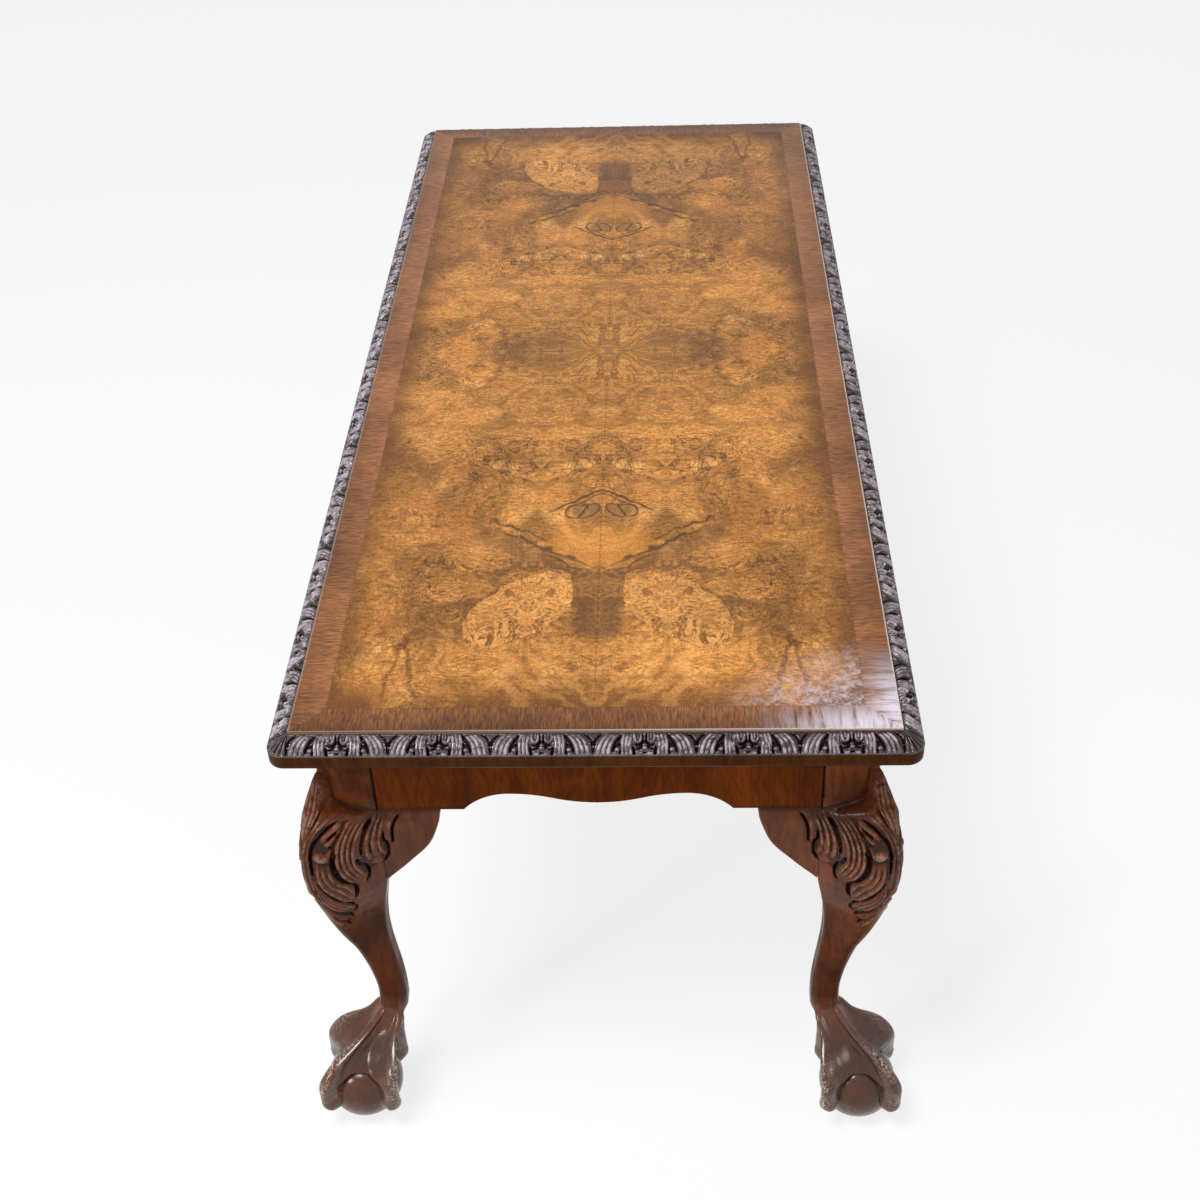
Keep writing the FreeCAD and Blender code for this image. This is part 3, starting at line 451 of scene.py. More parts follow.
def burr_finish():
    """Quartered burr: one figure folded about the middle lines and about the inner joints.
    u and v are the distances from the middle lines, a little stirred."""
    gold, brown = settings("polish").burr_gold, settings("polish").burr_brown
    paint = Finish("burr veneer")
    noise, span, band, blob, mix = paint.noise, paint.span, paint.band, paint.blob, paint.mix
    times, plus, less, most, size = paint.times, paint.plus, paint.less, paint.most, paint.size
    toned, place = paint.toned, paint.place
    uneven = paint.stir(place, 16.0, 0.007)
    parts = paint.add("ShaderNodeSeparateXYZ", {"Vector": uneven})
    wide, long = size(parts.outputs[0]), size(parts.outputs[1])
    quarter = paint.join(wide, long, 0.0)
    folded = paint.join(size(less(wide, INNER_JOINT)), long, 0.0)
    stirred = paint.stir(folded, 20.0, 0.034)
    curled = paint.stir(stirred, 62.0, 0.018, 3.0)
    swirled = paint.stir(paint.stir(quarter, 38.0, 0.012), 120.0, 0.0035)
    u, v = paint.add("ShaderNodeSeparateXYZ", {"Vector": swirled}).outputs[:2]

    def darken(colour, mask, share, tone=(0.075, 0.027, 0.009)):
        return mix(times(mask, share, clamp=True), colour, tone)

    ink = (0.070, 0.034, 0.016)
    # The ground: gold with pale, red and dark patches, and curls in the burred bands.
    tone = noise(stirred, 19.0, 4.0, 0.6, 0.8)
    colour = mix(span(tone, 0.34, 0.62), times_all(gold, 0.50), gold)
    colour = mix(span(noise(curled, 30.0, 3.0), 0.54, 0.72), colour, (0.66, 0.320, 0.092))
    red = span(noise(quarter, 12.0, 3.0, 0.6, 0.6), 0.48, 0.66)
    colour = mix(times(red, 0.45), colour, (0.42, 0.155, 0.038))
    calm = most(band(v, 0.111, 0.026, 0.016), band(v, 0.300, 0.010, 0.020))
    burred = most(band(v, 0.182, 0.034, 0.020), blob(u, v, (0.135, 0.0), (0.066, 0.062), 0.4))
    burred = most(burred, blob(u, v, (0.100, 0.350), (0.062, 0.060), 0.5))
    patchy = span(noise(quarter, 17.0, 3.0, 0.6), 0.38, 0.58, 0.25, 1.0)
    busy = times(most(burred, 0.50), times(patchy, span(calm, 0.0, 1.0, 1.0, 0.30)))
    rings = paint.wave_of(times(noise(stirred, 24.0, 4.0, 0.55, 1.2), 84.0))
    ringed = times(span(rings, 0.45, 1.0), span(busy, 0.1, 1.0, 0.22, 0.62))
    colour = darken(colour, ringed, 1.0, (0.16, 0.062, 0.018))
    pocket = span(noise(stirred, 44.0, 3.0, 0.6, 1.5), 0.42, 0.30)
    colour = darken(colour, times(pocket, busy), 0.85, (0.125, 0.052, 0.022))
    curls = noise(curled, 78.0, 5.0, 0.62, 2.6)
    dark_curls = times(span(curls, 0.47, 0.30), span(busy, 0.0, 1.0, 0.25, 1.0))
    colour = darken(colour, dark_curls, 0.9, (0.120, 0.046, 0.016))
    thread = band(noise(stirred, 36.0, 3.0, 0.5, 1.2), 0.5, 0.003, 0.007)
    second = band(noise(curled, 62.0, 2.0, 0.5, 1.6), 0.46, 0.004, 0.009)
    threads = times(most(thread, second), span(busy, 0.25, 0.70, 0.12, 1.0))
    colour = darken(colour, threads, 0.80, ink)
    hatch = noise(paint.stretch(stirred, (0.16, 1.0, 1.0)), 520.0, 3.0, 0.6)
    colour = toned(colour, hatch, 0.34, 0.62, 0.74, 1.18)
    speckle = noise(stirred, 300.0, 4.0, 0.7)
    colour = toned(colour, speckle, 0.36, 0.62, 0.80, 1.14)

    # Dark clouds and waves towards the sides and the ends.
    side = span(noise(stirred, 26.0, 3.0, 0.6), 0.30, 0.60, 0.25, 1.0)
    clouds = times(plus(span(u, 0.140, 0.200), span(v, 0.452, 0.500)), side)
    colour = darken(colour, clouds, 0.80, brown)
    wave = plus(times(u, 620.0), times(noise(quarter, 26.0, 2.0), 26.0))
    wave = times(span(paint.wave_of(wave), 0.1, 1.0), blob(u, v, (0.150, 0.435), (0.044, 0.075), 0.5))
    colour = darken(colour, wave, 0.34, (0.20, 0.074, 0.016))

    # The pale lenses, two on each half, and the dark patch between them.
    middle, lean = (0.058, 0.382), 0.84
    lens = times(blob(u, v, middle, (0.056, 0.030), 0.05, lean), span(u, 0.0205, 0.0215))
    rim = times(blob(u, v, middle, (0.0574, 0.0314), 0.05, lean), span(u, 0.0197, 0.0203))
    rim = less(rim, lens)
    inlay = noise(curled, 88.0, 4.0, 0.62, 2.2)
    inlay = mix(span(inlay, 0.37, 0.54), (0.19, 0.070, 0.022), (0.76, 0.355, 0.102))
    inlay = mix(span(tone, 0.36, 0.62, 0.35, 0.95), (0.58, 0.255, 0.066), inlay)
    inlay = toned(inlay, hatch, 0.32, 0.64, 0.82, 1.14)
    inlay = mix(times(most(second, span(rings, 0.60, 1.0, 0.0, 0.5)), 0.72), inlay, (0.13, 0.052, 0.019))
    inlay = toned(inlay, paint.x, -0.02, 0.02, 1.04, 0.82)
    around = less(blob(u, v, (0.066, 0.384), (0.088, 0.056), 0.5, lean), lens)
    around = times(around, span(noise(stirred, 40.0, 4.0, 0.65, 1.0), 0.58, 0.40))
    colour = darken(colour, times(around, span(v, 0.435, 0.405)), 0.66, (0.115, 0.050, 0.022))
    colour = mix(times(lens, 0.92), colour, inlay)
    colour = darken(colour, rim, 0.28)
    patch = times(span(u, 0.0215, 0.0185), band(v, 0.376, 0.038, 0.010))
    colour = darken(colour, times(patch, span(curls, 0.60, 0.36, 0.55, 1.0)), 0.66, (0.125, 0.056, 0.024))

    # The arc over the two small lobes, and the glow and the brows past them.
    arc = less(v, plus(0.226, times(paint.power(u, 1.3), 2.0)))
    colour = darken(colour, times(band(arc, 0.0, 0.0006, 0.0020), span(u, 0.046, 0.036)), 0.88, ink)
    second_arc = times(band(arc, 0.0065, 0.0003, 0.0016), span(u, 0.034, 0.022))
    colour = darken(colour, second_arc, 0.70, ink)
    middle = (0.0170, 0.2550)
    lobes = blob(u, v, middle, (0.0125, 0.0082), 0.12, 0.30)
    edges = less(blob(u, v, middle, (0.0142, 0.0098), 0.12, 0.30), lobes)
    hook = times(band(less(u, plus(0.012, times(less(v, 0.246), 0.4))), 0.0, 0.0005, 0.0014), lobes)
    colour = darken(colour, times(lobes, span(u, 0.006, 0.030, 0.95, 0.45)), 0.62, (0.20, 0.115, 0.052))
    colour = darken(colour, most(edges, hook), 0.86, ink)
    glow = blob(u, v, (0.0, 0.304), (0.040, 0.026), 0.6)
    colour = mix(times(glow, 0.50), colour, (0.58, 0.235, 0.042))
    waved = times(less(noise(quarter, 60.0, 2.0), 0.5), 0.014)
    brow = plus(waved, less(v, less(0.336, times(u, 0.66))))
    brows = times(band(brow, 0.0, 0.0008, 0.0022), band(u, 0.046, 0.024, 0.022))
    brows = most(brows, times(band(brow, -0.012, 0.0004, 0.0016), band(u, 0.066, 0.018, 0.012)))
    brows = most(brows, times(band(brow, 0.009, 0.0004, 0.0016), band(u, 0.030, 0.010, 0.012)))
    colour = darken(colour, brows, 0.82, ink)
    brow_cloud = times(band(brow, 0.014, 0.006, 0.014), band(u, 0.060, 0.030, 0.024))
    colour = darken(colour, brow_cloud, 0.45, (0.13, 0.056, 0.022))

    # The centre: lobes round a burst of rays.
    lobe = most(blob(u, v, (0.054, 0.008), (0.019, 0.032), 0.7, 0.2),
                blob(u, v, (0.090, 0.012), (0.026, 0.014), 0.7, -0.8))
    lobe = times(lobe, span(noise(curled, 48.0, 3.0), 0.30, 0.62, 0.35, 1.0))
    colour = darken(colour, lobe, 0.52, (0.135, 0.062, 0.028))
    swing = paint.bearing(u, plus(v, 0.004))
    fan = noise(paint.join(times(swing, 9.0), times(v, 22.0), times(u, 12.0)), 2.6, 3.0, 0.6)
    centre = blob(u, v, (0.0, 0.0), (0.066, 0.060), 0.6)
    colour = mix(times(centre, span(fan, 0.50, 0.64, 0.0, 0.48)), colour, (0.72, 0.35, 0.088))
    colour = darken(colour, times(centre, span(fan, 0.46, 0.36)), 0.70, (0.18, 0.066, 0.018))

    # Chevrons and spikes at the ends.
    chevron = plus(times(v, 230.0), times(paint.power(u, 0.85), 170.0))
    chevron = paint.wave_of(plus(chevron, times(noise(quarter, 34.0, 4.0, 0.6), 15.0)))
    here = times(span(u, 0.098, 0.060), span(v, 0.420, 0.434))
    colour = mix(times(here, span(chevron, -0.6, 1.0, 0.0, 0.34)), colour, (0.66, 0.310, 0.085))
    colour = darken(colour, times(here, span(chevron, -0.2, -1.0, 0.0, 0.26)), 1.0, (0.26, 0.092, 0.026))
    spike = less(size(less(u, 0.142)), times(less(v, 0.412), 0.17))
    spike = times(band(spike, 0.0, 0.0008, 0.0020), band(v, 0.448, 0.032, 0.006))
    colour = darken(colour, spike, 0.50)

    # Eyes, pores, the leaves' joints, scratches, and the bloom on the polish, which is partly a painted
    # reflection.
    cells = paint.add("ShaderNodeTexVoronoi", {"Vector": curled, "Scale": 120.0, "Randomness": 1.0})
    eyes = times(span(cells.outputs["Distance"], 0.26, 0.10), span(noise(quarter, 40.0, 1.0), 0.50, 0.60))
    colour = darken(colour, times(eyes, busy), 0.75)
    pores = noise(paint.stretch(stirred, (1.0, 0.25, 1.0)), 900.0, 2.0, 0.6)
    colour = toned(colour, pores, 0.30, 0.64, 0.80, 1.12)
    colour = toned(colour, noise(place, 7.0, 3.0), 0.32, 0.68, 0.80, 1.12)
    seams = paint.least(size(paint.x), size(paint.y))
    inner = size(less(size(paint.x), INNER_JOINT))
    colour = toned(colour, seams, 0.0002, 0.0008, 0.74, 1.0)
    colour = toned(colour, inner, 0.0002, 0.0006, 0.90, 1.0)
    hair = noise(paint.stretch(place, (1.0, 0.16, 1.0), (0.0, 0.0, 0.7)), 60.0, 2.0, 0.5, 1.5)
    scratch = times(band(hair, 0.5, 0.0015, 0.002), span(noise(place, 9.0, 1.0), 0.58, 0.66))
    colour = mix(times(scratch, 0.28), colour, (0.62, 0.42, 0.24))
    rim_away = paint.least(less(FIELD_HALF[0] - BAND_WIDE, size(paint.x)),
                           less(FIELD_HALF[1] - BAND_WIDE, size(paint.y)))
    colour = toned(colour, rim_away, 0.0, 0.020, 0.70, 1.0)
    # The bloom at the front right corner: pale lavender, partly worn polish and partly a painted reflection.
    corner = blob(paint.x, paint.y, (0.215, -0.515), (0.105, 0.075), 0.8)
    bloom_and_reflection = times(corner, span(noise(place, 170.0, 5.0, 0.75), 0.40, 0.68, 0.10, 0.80))
    colour = mix(bloom_and_reflection, colour, (0.58, 0.50, 0.54))
    rough = span(noise(place, 14.0, 3.0), 0.3, 0.7, 0.28, 0.40)
    paint.relief(pores, 0.10, 0.0004)
    return paint.finish(colour, rough, coat=0.05, coat_rough=0.16, specular=0.10)


def band_finish(name, along_y):
    """Crossbanding: the grain runs out from the field to the edge."""
    colours = settings("polish")
    paint = Finish(name)
    place, x, y = paint.place, paint.x, paint.y
    noise, span, times, toned, mix = paint.noise, paint.span, paint.times, paint.toned, paint.mix
    across = (0.12, 1.0, 1.0) if along_y else (1.0, 0.12, 1.0)
    stirred = paint.stir(place, 18.0, 0.006)
    grain = noise(paint.stretch(stirred, across), 420.0, 4.0, 0.65)
    clouds = noise(stirred, 15.0, 3.0, 0.55)
    colour = paint.cloudy(clouds, colours.band, 0.72, 1.20)
    colour = toned(colour, grain, 0.30, 0.68, 0.72, 1.20)
    pores = noise(paint.stretch(place, across), 900.0, 2.0, 0.6)
    colour = toned(colour, pores, 0.34, 0.60, 0.60, 1.20)
    if along_y:
        colour = toned(colour, y, -0.40, 0.00, 1.0, 1.25)
    else:
        colour = toned(colour, y, -0.50, -0.40, 0.80, 1.0)
    outer = paint.least(paint.less(FIELD_HALF[0], paint.size(x)), paint.less(FIELD_HALF[1], paint.size(y)))
    # Pale lavender bloom at the front right corner, rougher there: partly worn polish and partly a painted
    # reflection.
    front_right = times(span(x, 0.10, 0.20), span(y, -0.42, -0.50))
    dark_edge = 0.84 if along_y else 0.62
    colour = toned(colour, outer, 0.000, 0.022, dark_edge, 1.16, smooth=False)
    rubbed = noise(paint.stretch(place, across), 160.0, 4.0, 0.7)
    worn_bloom_and_reflection = times(front_right, span(rubbed, 0.30, 0.56))
    worn_bloom_and_reflection = times(worn_bloom_and_reflection, span(outer, 0.030, 0.004, 0.25, 1.0))
    colour = mix(times(worn_bloom_and_reflection, 0.96), colour, (0.66, 0.61, 0.70))
    # Painted highlight: a pale line along the outer arris, stronger towards the right.
    arris_highlight = times(span(outer, 0.0014, 0.0006), span(x, -0.20, 0.16, 0.25, 0.75))
    colour = mix(arris_highlight, colour, (0.58, 0.46, 0.40))
    inner = paint.size(paint.less(outer, BAND_WIDE))
    colour = toned(colour, inner, 0.0002, 0.0011, 0.78, 1.0)
    rough = span(worn_bloom_and_reflection, 0.0, 1.0, 0.32, 0.5)
    paint.relief(grain, 0.18, 0.0004)
    return paint.finish(colour, rough, coat=0.08, coat_rough=0.18, specular=0.15)


def carved_finish(name, base, tint, worn_and_highlight_colour, plain=None):
    """Polish on carving: dark in the cuts, partly old polish in the hollows and partly painted
    shade, and rubbed on the high places with a painted highlight. It lies thick and glossy on
    the feet, the knees and the carved edge, and thin on plain faces."""
    paint = Finish(name)
    place, z = paint.place, paint.z
    noise, span, times, toned, mix = paint.noise, paint.span, paint.times, paint.toned, paint.mix
    if plain is not None:
        below = span(z, TOP_UNDER + 0.0118, TOP_UNDER + 0.0108)
        base = mix(below, base, times_all(plain, 0.7))
        tint = mix(below, tint, plain)
        gloss = span(below, 0.0, 1.0, 0.55, 0.02)
    else:
        base = times_all(base, 0.70)
        foot = span(z, 0.118, 0.096, 0.03, 0.85)
        knee = span(paint.band(z, 0.300, 0.048, 0.016), 0.0, 1.0, 0.03, 0.34)
        gloss = paint.most(foot, knee)
    cut = paint.add("ShaderNodeAttribute", {}, attribute_name="carving").outputs["Fac"]
    drawn = paint.stretch(paint.stir(place, 12.0, 0.02), (1.0, 1.0, 0.12))
    grain = noise(drawn, 260.0, 4.0, 0.6)
    clouds = noise(place, 16.0, 4.0, 0.6)
    colour = mix(span(clouds, 0.32, 0.68), base, tint)
    colour = toned(colour, grain, 0.30, 0.70, 0.72, 1.25)
    shaft = paint.band(z, 0.165, 0.050, 0.030)
    colour = toned(colour, shaft, 0.0, 1.0, 1.0, 0.66)
    if plain is None:
        colour = mix(span(z, 0.104, 0.076, 0.0, 0.60), colour, (0.030, 0.011, 0.006))
    # Painted shade: the cuts go nearly black, partly old polish in the hollows and partly painted shade.
    colour = mix(span(cut, 0.49, 0.20, 0.0, 0.96), colour, (0.008, 0.003, 0.002))
    # Painted highlight: the high places take the pale worn colour, partly rubbed polish and partly a painted
    # highlight.
    high = span(cut, 0.58, 0.88)
    rub_and_highlight = times(high, span(noise(place, 150.0, 3.0, 0.7), 0.36, 0.60))
    colour = mix(times(rub_and_highlight, 0.46 if plain is not None else 0.50), colour, worn_and_highlight_colour)
    wear = paint.add("ShaderNodeAttribute", {}, attribute_name="wear").outputs["Fac"]
    flecks = span(noise(place, 420.0, 6.0, 0.8, 0.6), 0.51, 0.58)
    patches = span(noise(place, 55.0, 2.0), 0.36, 0.56, 0.15, 1.0)
    flecks = times(times(flecks, patches), wear)
    colour = mix(flecks, colour, (0.62, 0.50, 0.38))
    rough = span(noise(place, 40.0, 3.0), 0.3, 0.7, 0.26, 0.42)
    paint.relief(grain, 0.10, 0.0005)
    return paint.finish(colour, rough, coat=gloss, coat_rough=0.19, specular=0.03)


def rail_finish():
    """Figured veneer whose grain slopes across the rail."""
    colours = settings("polish")
    paint = Finish("rail veneer")
    x, y, z = paint.x, paint.y, paint.z
    noise, span, times, toned = paint.noise, paint.span, paint.times, paint.toned
    flat = paint.join(paint.size(paint.plus(x, y)), z, 0.0)
    stirred = paint.stir(flat, 12.0, 0.020)
    grain = noise(paint.stretch(stirred, (1.0, 0.16, 1.0), (0.0, 0.0, 0.85)), 380.0, 4.0, 0.62)
    bars = noise(paint.stretch(stirred, (1.0, 0.30, 1.0), (0.0, 0.0, -0.7)), 46.0, 3.0, 0.5, 0.4)
    colour = paint.cloudy(bars, colours.rail, 0.74, 1.18)
    colour = toned(colour, grain, 0.30, 0.68, 0.72, 1.20)
    colour = toned(colour, noise(flat, 9.0, 2.0), 0.35, 0.65, 0.82, 1.12)
    colour = toned(colour, z, RAIL_FOOT + 0.0005, RAIL_FOOT + 0.004, 0.6, 1.0)
    # The dark joints against the posts, on the end rails and on the side rails.
    wide, long = paint.size(x), paint.size(y)
    ends = paint.band(wide, POST_FACE[0] - POST_SIDE, 0.0009, 0.0008)
    side_ends = paint.band(long, POST_FACE[1] - POST_SIDE, 0.0009, 0.0008)
    joints = paint.most(times(ends, span(long, 0.480, 0.481)),
                        times(side_ends, span(wide, 0.190, 0.191)))
    colour = toned(colour, joints, 0.0, 1.0, 1.0, 0.05)
    rough = span(bars, 0.3, 0.7, 0.30, 0.40)
    paint.relief(grain, 0.10, 0.0004)
    return paint.finish(colour, rough, coat=0.02, coat_rough=0.15, specular=0.02)


def plain_finish(name, tint, grain_scale):
    """Unpolished wood with its grain along the longer way of the piece."""
    paint = Finish(name)
    place = paint.place
    noise, span, toned = paint.noise, paint.span, paint.toned
    stirred = paint.stir(place, 9.0, 0.012)
    grain = noise(paint.stretch(stirred, grain_scale), 300.0, 4.0, 0.62)
    clouds = noise(stirred, 11.0, 3.0)
    colour = paint.cloudy(clouds, tint, 0.72, 1.0)
    colour = toned(colour, grain, 0.3, 0.7, 0.70, 1.15)
    paint.relief(grain, 0.25, 0.0005)
    return paint.finish(colour, span(grain, 0.3, 0.7, 0.62, 0.78))


def screw_finish():
    paint = Finish("dull steel")
    place = paint.place
    noise, span, mix = paint.noise, paint.span, paint.mix
    turned = noise(place, 700.0, 3.0, 0.7)
    rust = span(noise(place, 240.0, 3.0, 0.6), 0.50, 0.66)
    colour = mix(rust, (0.32, 0.31, 0.29), (0.16, 0.075, 0.035))
    paint.relief(turned, 0.2, 0.0002)
    return paint.finish(colour, span(rust, 0.0, 1.0, 0.36, 0.7), metal=0.85)


def coat(node_names, material):
    """Gives CAD nodes, which already have their right shape, their finish."""
    for name in node_names:
        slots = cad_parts[name].data.materials
        slots.clear()
        slots.append(material)


def smooth_line(points, step):
    """Points a given step apart on a smooth curve through the given ones."""
    knots = np.array(points, float)
    padded = np.vstack([2 * knots[0] - knots[1], knots, 2 * knots[-1] - knots[-2]])
    line = [knots[:1]]
    for before, start, end, after in zip(padded, padded[1:], padded[2:], padded[3:]):
        count = max(int(np.linalg.norm(end - start) / step), 1)
        part = (np.arange(1, count + 1) / count)[:, None]
        slope, next_slope = (end - before) / 2, (after - start) / 2
        bend = 3 * (end - start) - 2 * slope - next_slope
        twist = slope + next_slope - 2 * (end - start)
        line.append(start + part * (slope + part * (bend + part * twist)))
    return np.vstack(line)


def line_distance(x, y, line):
    """How far each place is from a line, and where along it, from 0 to 1."""
    best = np.full(x.shape, np.inf)
    where = np.zeros(x.shape)
    last = len(line) - 1
    for index in range(last):
        start, way = line[index], line[index + 1] - line[index]
        part = np.clip(((x - start[0]) * way[0] + (y - start[1]) * way[1]) / (way @ way), 0, 1)
        away = np.hypot(x - start[0] - part * way[0], y - start[1] - part * way[1])
        nearer = away < best
        best[nearer] = away[nearer]
        where[nearer] = (index + part[nearer]) / last
    return best, where


def fan_heights(grid, low, pitch, flutes, height, first, second):
    """Raises a leaf of round flutes between its two edges on a grid of heights."""
    edges = [smooth_line(points, 0.25 * pitch) for points in (first, second)]
    along = np.linspace(0, 1, 2 * max(len(edge) for edge in edges))
    near, far = (np.stack([np.interp(along, np.linspace(0, 1, len(edge)), column) for column in edge.T], 1)
                 for edge in edges)
    count = int(np.hypot(*(far - near).T).max() / (0.4 * pitch)) + 2
    across = np.linspace(0, 1, count)
    spots = near[:, None, :] + (far - near)[:, None, :] * across[None, :, None]
    wave = np.abs(np.sin(math.pi * flutes * across)) ** 0.75
    taper = np.clip(np.minimum(along * 9, (1 - along) * 7), 0.15, 1) ** 0.7
    level = height * taper[:, None] * (1.25 * wave[None, :] - 0.25)
    cells = np.rint((spots - np.array(low)) / pitch).astype(int)
    inside = ((cells >= 0) & (cells < np.array(grid.shape))).all(2)
    filled = np.full(grid.shape, -np.inf)
    np.maximum.at(filled, (cells[inside][:, 0], cells[inside][:, 1]), level[inside])
    return np.where(np.isfinite(filled), filled, grid)


def stroke(x, y, half, points, step):
    """The places that a rib or a cut may touch, how far they are from its line, and where
    along it."""
    line = smooth_line(points, step)
    low, high = line.min(0) - half, line.max(0) + half
    near = (x > low[0]) & (x < high[0]) & (y > low[1]) & (y < high[1])
    return (near, *line_distance(x[near], y[near], line))


def relief_map(x, y, raised, ribs, cuts, step):
    """The carving's height over a grid of places, from its leaves, its ribs and its cuts."""
    for half, height, points in ribs:
        near, away, where = stroke(x, y, half, points, step)
        taper = np.clip(np.minimum(where, 1 - where) * 7, 0.25, 1)
        bulge = height * taper * np.sqrt(np.clip(1 - (away / (half * taper)) ** 2, 0, 1))
        raised[near] = np.maximum(raised[near], bulge)
    sunk = np.zeros(x.shape)
    for half, depth, points in cuts:
        near, away, where = stroke(x, y, half, points, step)
        taper = np.clip(np.minimum(where, 1 - where) * 6, 0.2, 1)
        groove = depth * taper * np.clip(1 - away / (half * taper), 0, 1) ** 0.8
        sunk[near] = np.maximum(sunk[near], groove)
    return raised - sunk


class Relief:
    """A carving worked out once on a fine grid and then read at any place."""

    def __init__(self, low, high, pitch, fans, ribs, cuts):
        self.low, self.pitch = np.array(low, float), pitch
        xs = np.arange(low[0], high[0], pitch)
        ys = np.arange(low[1], high[1], pitch)
        grid_x, grid_y = np.meshgrid(xs, ys, indexing="ij")
        leaves = np.zeros(grid_x.shape)
        for fan in fans:
            leaves = fan_heights(leaves, self.low, pitch, *fan)
        self.heights = relief_map(grid_x, grid_y, leaves, ribs, cuts, 2.5 * pitch)

    def at(self, x, y):
        rows = (x - self.low[0]) / self.pitch
        columns = (y - self.low[1]) / self.pitch
        limit_x, limit_y = self.heights.shape[0] - 2, self.heights.shape[1] - 2
        i = np.clip(rows.astype(int), 0, limit_x)
        j = np.clip(columns.astype(int), 0, limit_y)
        a, b = np.clip(rows - i, 0, 1), np.clip(columns - j, 0, 1)
        grid = self.heights
        return ((1 - a) * (1 - b) * grid[i, j] + a * (1 - b) * grid[i + 1, j]
                + (1 - a) * b * grid[i, j + 1] + a * b * grid[i + 1, j + 1])


def knee_relief():
    return Relief((-26.0, 222.0), (92.0, 398.0), 0.4, KNEE_FANS, KNEE_RIBS, KNEE_CUTS)


def carving_value(carved):
    """The value that the polish reads: 0.5 on level ground, and less in the cuts."""
    return 0.5 + carved / 5.0


def leaf_bed(u, height):
    """How far the ground is sunk round the leaves, so that the sprays stand out of it."""
    line = np.array(LEAF_BED + LEAF_BED[:1], float)
    inside = np.zeros(u.shape, bool)
    for (x0, y0), (x1, y1) in zip(line, line[1:]):
        crosses = (y0 > height) != (y1 > height)
        with np.errstate(divide="ignore", invalid="ignore"):
            at = (x1 - x0) * (height - y0) / (y1 - y0) + x0
        inside ^= crosses & (u < at)
    away, _ = line_distance(u, height, line)
    return np.where(inside, np.clip(away / 3.0, 0, 1), 0.0)


def block_line(u):
    places = np.array(BLOCK_FOOT, float)
    return np.interp(u, places[:, 0], places[:, 1])


def knee_carving(u, height, relief, depth):
    """The carving's height at places on a knee's face or an ear, in millimetres."""
    under = block_line(u) - height
    below = np.clip(under / 1.4, 0, 1)
    carved = relief.at(u, height) - 1.1 * leaf_bed(u, height)
    ledge = -1.1 * np.exp(-((under - 1.6) / 1.5) ** 2) * (u < 88)
    return depth * carved * below + ledge * np.clip(under + 1.0, 0, 1)


def table_rows(rows, heights):
    """A table's columns at the given heights, on smooth curves through its rows."""
    table = np.array(sorted(rows), float)
    known = table[:, 0]
    slopes = np.gradient(table[:, 1:], known, axis=0)
    at = np.clip(np.searchsorted(known, heights) - 1, 0, len(known) - 2)
    reach = (known[at + 1] - known[at])[:, None]
    part = np.clip((heights - known[at]) / reach[:, 0], 0, 1)[:, None]
    start, end = table[at, 1:], table[at + 1, 1:]
    square, cube = part ** 2, part ** 3
    return ((2 * cube - 3 * square + 1) * start + (cube - 2 * square + part) * slopes[at] * reach
            + (3 * square - 2 * cube) * end + (cube - square) * slopes[at + 1] * reach)


def hull_reach(circles, middle, angles):
    """How far the outline that wraps some circles is from a middle, at each angle."""
    facing = np.linspace(0, 2 * math.pi, 288, endpoint=False)
    normal = np.stack([np.cos(facing), np.sin(facing)])
    support = np.max([(x - middle[0]) * normal[0] + (y - middle[1]) * normal[1] + r
                      for x, y, r in circles], axis=0)
    lean = np.cos(facing[None, :] - angles[:, None])
    reach = np.where(lean > 0.02, support[None, :] / np.maximum(lean, 0.02), np.inf)
    return reach.min(1)


def circle_reach(circle, middle, angles):
    """How far a circle's far side is from a middle, at each angle, or 0 where it misses."""
    x, y, r = circle[0] - middle[0], circle[1] - middle[1], circle[2]
    along = x * np.cos(angles) + y * np.sin(angles)
    across = x * np.sin(angles) - y * np.cos(angles)
    inside = r * r - across ** 2
    return np.where(inside > 0, np.maximum(along + np.sqrt(np.maximum(inside, 0)), 0.0), 0.0)


def talon_reach(standing, thick, wide, azimuth, angles):
    """How far a talon's rounded back and steep sides are from a middle, at each angle."""
    lean = np.mod(angles - azimuth + math.pi, 2 * math.pi) - math.pi
    near = np.abs(lean) < 1.1
    lean = np.where(near, lean, 0.0)
    part = np.abs(standing * np.tan(lean)) / wide
    bulge = np.where(part < 0.9, np.sqrt(np.clip(1 - part ** 2, 0, 1)), 0.436 - 4.0 * (part - 0.9))
    return np.where(near & (part < 2.2), np.maximum(standing + thick * bulge, 0) / np.cos(lean), 0.0)


def soft_max(first, second, blend):
    mixing = np.clip(0.5 + (first - second) / (2 * blend), 0, 1)
    return second + (first - second) * mixing + blend * mixing * (1 - mixing)


def web_row(height):
    """The web's middle, face and corner at a height, held at the ends of its table."""
    level = min(max(height, WEB_SECTIONS[-1][0]), WEB_SECTIONS[0][0])
    return table_rows(WEB_SECTIONS, np.array([level]))[0]


